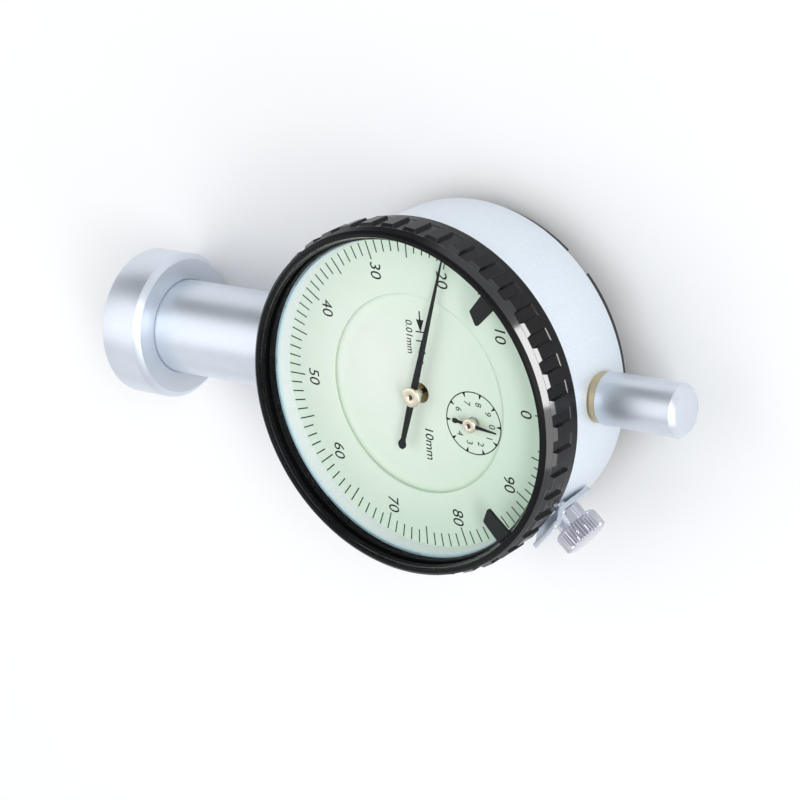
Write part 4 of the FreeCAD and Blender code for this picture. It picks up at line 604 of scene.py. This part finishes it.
def arrow(mesh, start, tip, y):
    """Shaft, solid head and end bar of one arrow, along the dial's x."""
    way = 1 if tip > start else -1
    neck = tip - way * 2.0
    head = [(neck, y - 0.72), (neck, y + 0.72), (tip, y)]
    mesh.faces.new([mesh.verts.new((b * MM, -a * MM, CENTRE_LEVEL * MM)) for a, b in head])
    bar(mesh, start, neck, y - 0.12, y + 0.12)
    bar(mesh, tip - 0.1, tip + 0.1, y - 0.95, y + 0.95)


arrow(centre_print, -13.5, -10.1, 1.05)
arrow(centre_print, -4.9, -8.6, 1.05)
lettering(centre_print, "0.01mm", 1.24, -1.2, 9.1, CENTRE_LEVEL, weight=0.01)
lettering(centre_print, "10mm", 1.6, 1.25, -8.2, CENTRE_LEVEL, weight=0.01)
small = bmesh.new()
bmesh.ops.create_circle(small, cap_ends=False, segments=128, radius=5.18 * MM)
bmesh.ops.create_circle(small, cap_ends=False, segments=128, radius=5.0 * MM)
bmesh.ops.bridge_loops(small, edges=small.edges)
bmesh.ops.translate(small, verts=small.verts, vec=(0, 0, CENTRE_LEVEL * MM))
for digit in range(10):
    angle = -math.radians(36 * digit)
    mark(small, (0.08, 0.5), 4.3, 5.05, angle, CENTRE_LEVEL)
    x, y = 3.4 * math.cos(angle), 3.4 * math.sin(angle)
    lettering(small, str(digit), 1.15, x, y, CENTRE_LEVEL)
bmesh.ops.translate(small, verts=small.verts, vec=(SMALL_DIAL - DIAL) * MM)
small_flat = bpy.data.meshes.new("small_flat")
small.to_mesh(small_flat)
small.free()
centre_print.from_mesh(small_flat)
finished("centre_print", centre_print, "case", INK, (), on_dial())

# Hands and hubs
HAND_TURN = math.radians(72)
SMALL_HAND_TURN = math.radians(-7.34)
HAND = [
    (23.9, -0.13), (23.9, 0.13), (0, 0.65), (-7.9, 0.425), (-8.65, 0.76), (-9.05, 0.72),
    (-9.6, 0.32), (-9.6, -0.32), (-9.05, -0.72), (-8.65, -0.76), (-7.9, -0.425), (0, -0.65),
]
hand = extruded(HAND, 1.0, 1.2)
bevel_sharp(hand, 0.04)
finished("main_pointer", hand, "centre_arbor", HAND_BLACK, ("main_hand",), on_dial(HAND_TURN))
HUB = [
    (0.36, -0.4), (1.0, -0.4), (1.0, 1.2), (1.66, 1.2), (1.66, 1.63), (1.54, 1.75), (0.5, 1.75), (0.36, 1.6),
]
finished("brass_hub", turned(HUB, 96, 0.03), "centre_arbor", PALE_BRASS, ("main_hub",), on_dial())
SMALL_HAND = [
    (4.9, -0.1), (4.9, 0.1), (0, 0.35), (-2.35, 0.2), (-2.59, 0.4), (-3.06, 0.4), (-3.3, 0.2), (-3.3, -0.2),
    (-3.06, -0.4), (-2.59, -0.4), (-2.35, -0.2), (0, -0.35),
]
small_pointer = extruded(SMALL_HAND, 0.1, 0.3)
bevel_sharp(small_pointer, 0.03)
finished(
    "small_pointer", small_pointer, "takeup_arbor", HAND_BLACK, ("small_hand",),
    on_dial(SMALL_HAND_TURN, SMALL_DIAL),
)
SMALL_HUB = [
    (0.36, -0.6), (0.85, -0.6), (0.85, 0.3), (1.2, 0.3), (1.2, 0.55), (1.1, 0.65), (0.45, 0.65), (0.36, 0.55),
]
small_hub = turned(SMALL_HUB, 64, 0.025)
finished(
    "small_brass_hub", small_hub, "takeup_arbor", PALE_BRASS,
    ("small_hub",), on_dial(0, SMALL_DIAL),
)

# Markers, clamp and the small hidden screws
refined("left_marker", "limit_marker_left", "marker_left", HAND_BLACK, 0.05)
refined("right_marker", "limit_marker_right", "marker_right", HAND_BLACK, 0.05)


BEND_STEPS = 6


def bent_strip(line, thickness, left, right, corner, radius):
    """Sheet bent along a line of pairs (distance from the dial axis, level), with rounded ends."""
    points = [Vector(p) for p in line]
    path = [points[0]]
    for before, at, after in zip(points, points[1:], points[2:]):
        into, out = (at - before).normalized(), (after - at).normalized()
        turn = into.angle_signed(out)
        reach = radius * math.tan(abs(turn) / 2)
        centre = at - into * reach + Vector((-into.y, into.x)) * math.copysign(radius, -turn)
        start = at - into * reach - centre
        for step in range(BEND_STEPS + 1):
            spin = Matrix.Rotation(-turn * step / BEND_STEPS, 2)
            path.append(centre + spin @ start)
    path.append(points[-1])
    for end, way in ((0, 1), (-1, -1)):
        along = (path[way] - path[0]) if end == 0 else (path[-2] - path[-1])
        along.normalize()
        tip = path[end].copy()
        curve = [tip + along * corner * (1 - math.cos(math.radians(a))) for a in (15, 30, 45, 60, 75, 90)]
        path = [tip] + curve + path[1:] if end == 0 else path[:-1] + curve[::-1] + [tip]
    lengths = [0.0]
    for a, b in zip(path, path[1:]):
        lengths.append(lengths[-1] + (b - a).length)
    mesh = bmesh.new()
    columns = []
    for n, point in enumerate(path):
        ahead = (path[min(n + 1, len(path) - 1)] - path[max(n - 1, 0)]).normalized()
        side = Vector((-ahead.y, ahead.x)) * thickness / 2
        short = max(0.0, corner - min(lengths[n], lengths[-1] - lengths[n]))
        shy = corner - math.sqrt(corner ** 2 - short ** 2)
        outer, inner = point + side, point - side
        spots = [(outer, left + shy), (inner, left + shy), (inner, right - shy), (outer, right - shy)]
        columns.append([mesh.verts.new((p.x * MM, t * MM, p.y * MM)) for p, t in spots])
    for near, far in zip(columns, columns[1:]):
        for k in range(4):
            mesh.faces.new((near[k], far[k], far[(k + 1) % 4], near[(k + 1) % 4]))
    mesh.faces.new(columns[0])
    mesh.faces.new(columns[-1])
    bmesh.ops.recalc_face_normals(mesh, faces=mesh.faces)
    return mesh


def ridged(sections, count, root, crown):
    """A turned solid along Z whose sections of at least the root radius carry knurl ridges."""
    mesh = bmesh.new()
    ridge = (-0.5, root), (-0.12, crown), (0.12, crown)
    star = [(n + part, radius) for n in range(count) for part, radius in ridge]
    rings = []
    for level, limit in sections:
        places = [(min(radius, limit), math.tau * part / count) for part, radius in star]
        spots = [(r * math.cos(a) * MM, r * math.sin(a) * MM, level * MM) for r, a in places]
        rings.append([mesh.verts.new(spot) for spot in spots])
    for near, far in zip(rings, rings[1:]):
        for k in range(len(star)):
            mesh.faces.new((near[k - 1], near[k], far[k], far[k - 1]))
    mesh.faces.new(rings[0])
    mesh.faces.new(rings[-1])
    bmesh.ops.recalc_face_normals(mesh, faces=mesh.faces)
    return mesh


# The bracket's inner leg, its slope and its outer arm beside the bezel
STRIP = [(27.45, -14.5), (27.95, -5.5), (29.55, -2.9), (29.55, -1.7)]
bracket = bent_strip(STRIP, thickness=0.8, left=-3.9, right=2.5, corner=0.8, radius=1.2)
bevel_sharp(bracket, 0.12, 40, 3)
bmesh.ops.transform(bracket, matrix=on_dial(CLAMP_ANGLE), verts=bracket.verts)
bracket = carved(bracket, [drill(1.4, 26.9, 28.9, CLAMP_ANGLE, CLAMP_LEVEL)])
finished("bent_bracket", bracket, "case", SATIN_STEEL, ("clamp_bracket",), None, 24)
SCREW = [
    (24.8, 1.25), (28.4, 1.25), (28.4, 2.6), (30.55, 2.6), (30.55, 3.4), (30.75, 3.58), (30.9, 3.78),
    (33.4, 3.78), (33.6, 3.58), (33.75, 3.35), (33.9, 2.9), (34.02, 2.0), (34.08, 1.0),
]
screw = ridged(SCREW, count=40, root=3.42, crown=3.78)
outward = Matrix.Rotation(CLAMP_ANGLE, 4, "Z") @ Matrix.Rotation(math.radians(90), 4, "Y")
screw_place = Matrix.Translation((DIAL.x * MM, 0, CLAMP_LEVEL * MM)) @ outward
finished("knurled_screw", screw, "clamp_screw", BRIGHT_PLATE, ("clamp_screw",), screw_place, 20)

# Finishes of the pieces that stay as drawn
KEPT = {
    BRASS: (
        "stem_bush", "drive_gear", "takeup_gear", "movement_bottom_plate", "movement_top_plate", "center_bridge",
        "bridge_pillars", "plate_pillars", "guide_rail", "hairspring_stud",
    ),
    GROUND_STEEL: ("spindle", "guide_pin"),
    DARK_STEEL: (
        "rack_pinion", "center_pinion", "takeup_arbor", "sleeve_set_screw", "back_cover_screws", "pillar_screws",
        "movement_screws", "spring_post",
    ),
    SPRING_STEEL: ("return_spring", "hairspring", "bezel_snap_ring", "dial_clip_ring"),
    RUBY: ("jewel_bearings",),
}
for material, names in KEPT.items():
    for name in names:
        nodes[name].data.materials.clear()
        nodes[name].data.materials.append(material)

# Floor, light and camera
FLOOR_LEVEL = -12.5
floor_mesh = bmesh.new()
bmesh.ops.create_grid(floor_mesh, x_segments=1, y_segments=1, size=3.0)
bmesh.ops.translate(floor_mesh, verts=floor_mesh.verts, vec=(0, 0, FLOOR_LEVEL * MM))
floor_data = bpy.data.meshes.new("floor")
floor_mesh.to_mesh(floor_data)
floor_mesh.free()
floor_finish = Finish("floor_paper", Roughness=0.9)
floor_finish.feed(
    Base_Color=floor_finish.mix(floor_finish.noise(8, 2.0), (0.93, 0.93, 0.93, 1), (0.95, 0.95, 0.95, 1))
)
floor_data.materials.append(floor_finish.material)
floor = bpy.data.objects.new("floor", floor_data)
scene.collection.objects.link(floor)

# The camera's own right, up and backward directions, and its place
RIGHT = Vector((0.7999, -0.0718, -0.5959))
UP = Vector((-0.1460, 0.9397, -0.3092))
BACK = Vector((0.5821, 0.3343, 0.7412))
EYE = Vector((0.29573, 0.13263, 0.30858))

camera = bpy.data.cameras.new("camera")
camera.sensor_width = 36
camera.lens = 115.4
camera.clip_start = 0.01
eye = bpy.data.objects.new("camera", camera)
axes = Matrix((RIGHT, UP, BACK)).transposed().to_4x4()
eye.matrix_world = Matrix.Translation(EYE) @ axes
scene.collection.objects.link(eye)
scene.camera = eye


LIT_SPOT = Vector((0.055, 0, 0.005))


def softbox(name, way, distance, width, height, watts):
    """A light panel in a given direction from the gauge, facing it."""
    data = bpy.data.lights.new(name, "AREA")
    data.shape = "RECTANGLE"
    data.size = width
    data.size_y = height
    data.energy = watts
    lamp = bpy.data.objects.new(name, data)
    way = Vector(way).normalized()
    lamp.location = LIT_SPOT + way * distance
    lamp.rotation_euler = way.to_track_quat("Z", "Y").to_euler()
    scene.collection.objects.link(lamp)


softbox("overhead", (-0.55, 0.16, 0.8), 1.2, 1.25, 1.25, 3.9)
softbox("front", (0.747, 0.166, 0.644), 1.3, 0.9, 0.24, 6.4)
softbox("side", (0.85, -0.45, 0.4), 1.2, 0.6, 0.6, 1.5)
softbox("fill", (-0.5, -0.9, 0.5), 1.2, 1.2, 0.8, 0.8)

# A pale room with one darker side behind the dial
DARK_SIDE = Vector((-0.50, 0.83, 0.24)).normalized()
FALL_START, FALL_END = 0.85, 0.99
ROOM_STRENGTH, DARK_STRENGTH = 0.70, 0.14
world = bpy.data.worlds.new("studio")
world.use_nodes = True
air = world.node_tree
towards = air.nodes.new("ShaderNodeTexCoord")
along = air.nodes.new("ShaderNodeVectorMath")
along.operation = "DOT_PRODUCT"
along.inputs[1].default_value = DARK_SIDE
air.links.new(towards.outputs["Generated"], along.inputs[0])
fall = air.nodes.new("ShaderNodeMapRange")
fall.interpolation_type = "SMOOTHSTEP"
for socket, value in {1: FALL_START, 2: FALL_END, 3: ROOM_STRENGTH, 4: DARK_STRENGTH}.items():
    fall.inputs[socket].default_value = value
air.links.new(along.outputs["Value"], fall.inputs[0])
air.links.new(fall.outputs[0], air.nodes["Background"].inputs["Strength"])
air.nodes["Background"].inputs["Color"].default_value = (0.95, 0.97, 1.0, 1)
scene.world = world
scene.view_settings.view_transform = "Standard"


def corners(box):
    """A box as plain lists of numbers."""
    return [[float(c) for c in corner] for corner in box]
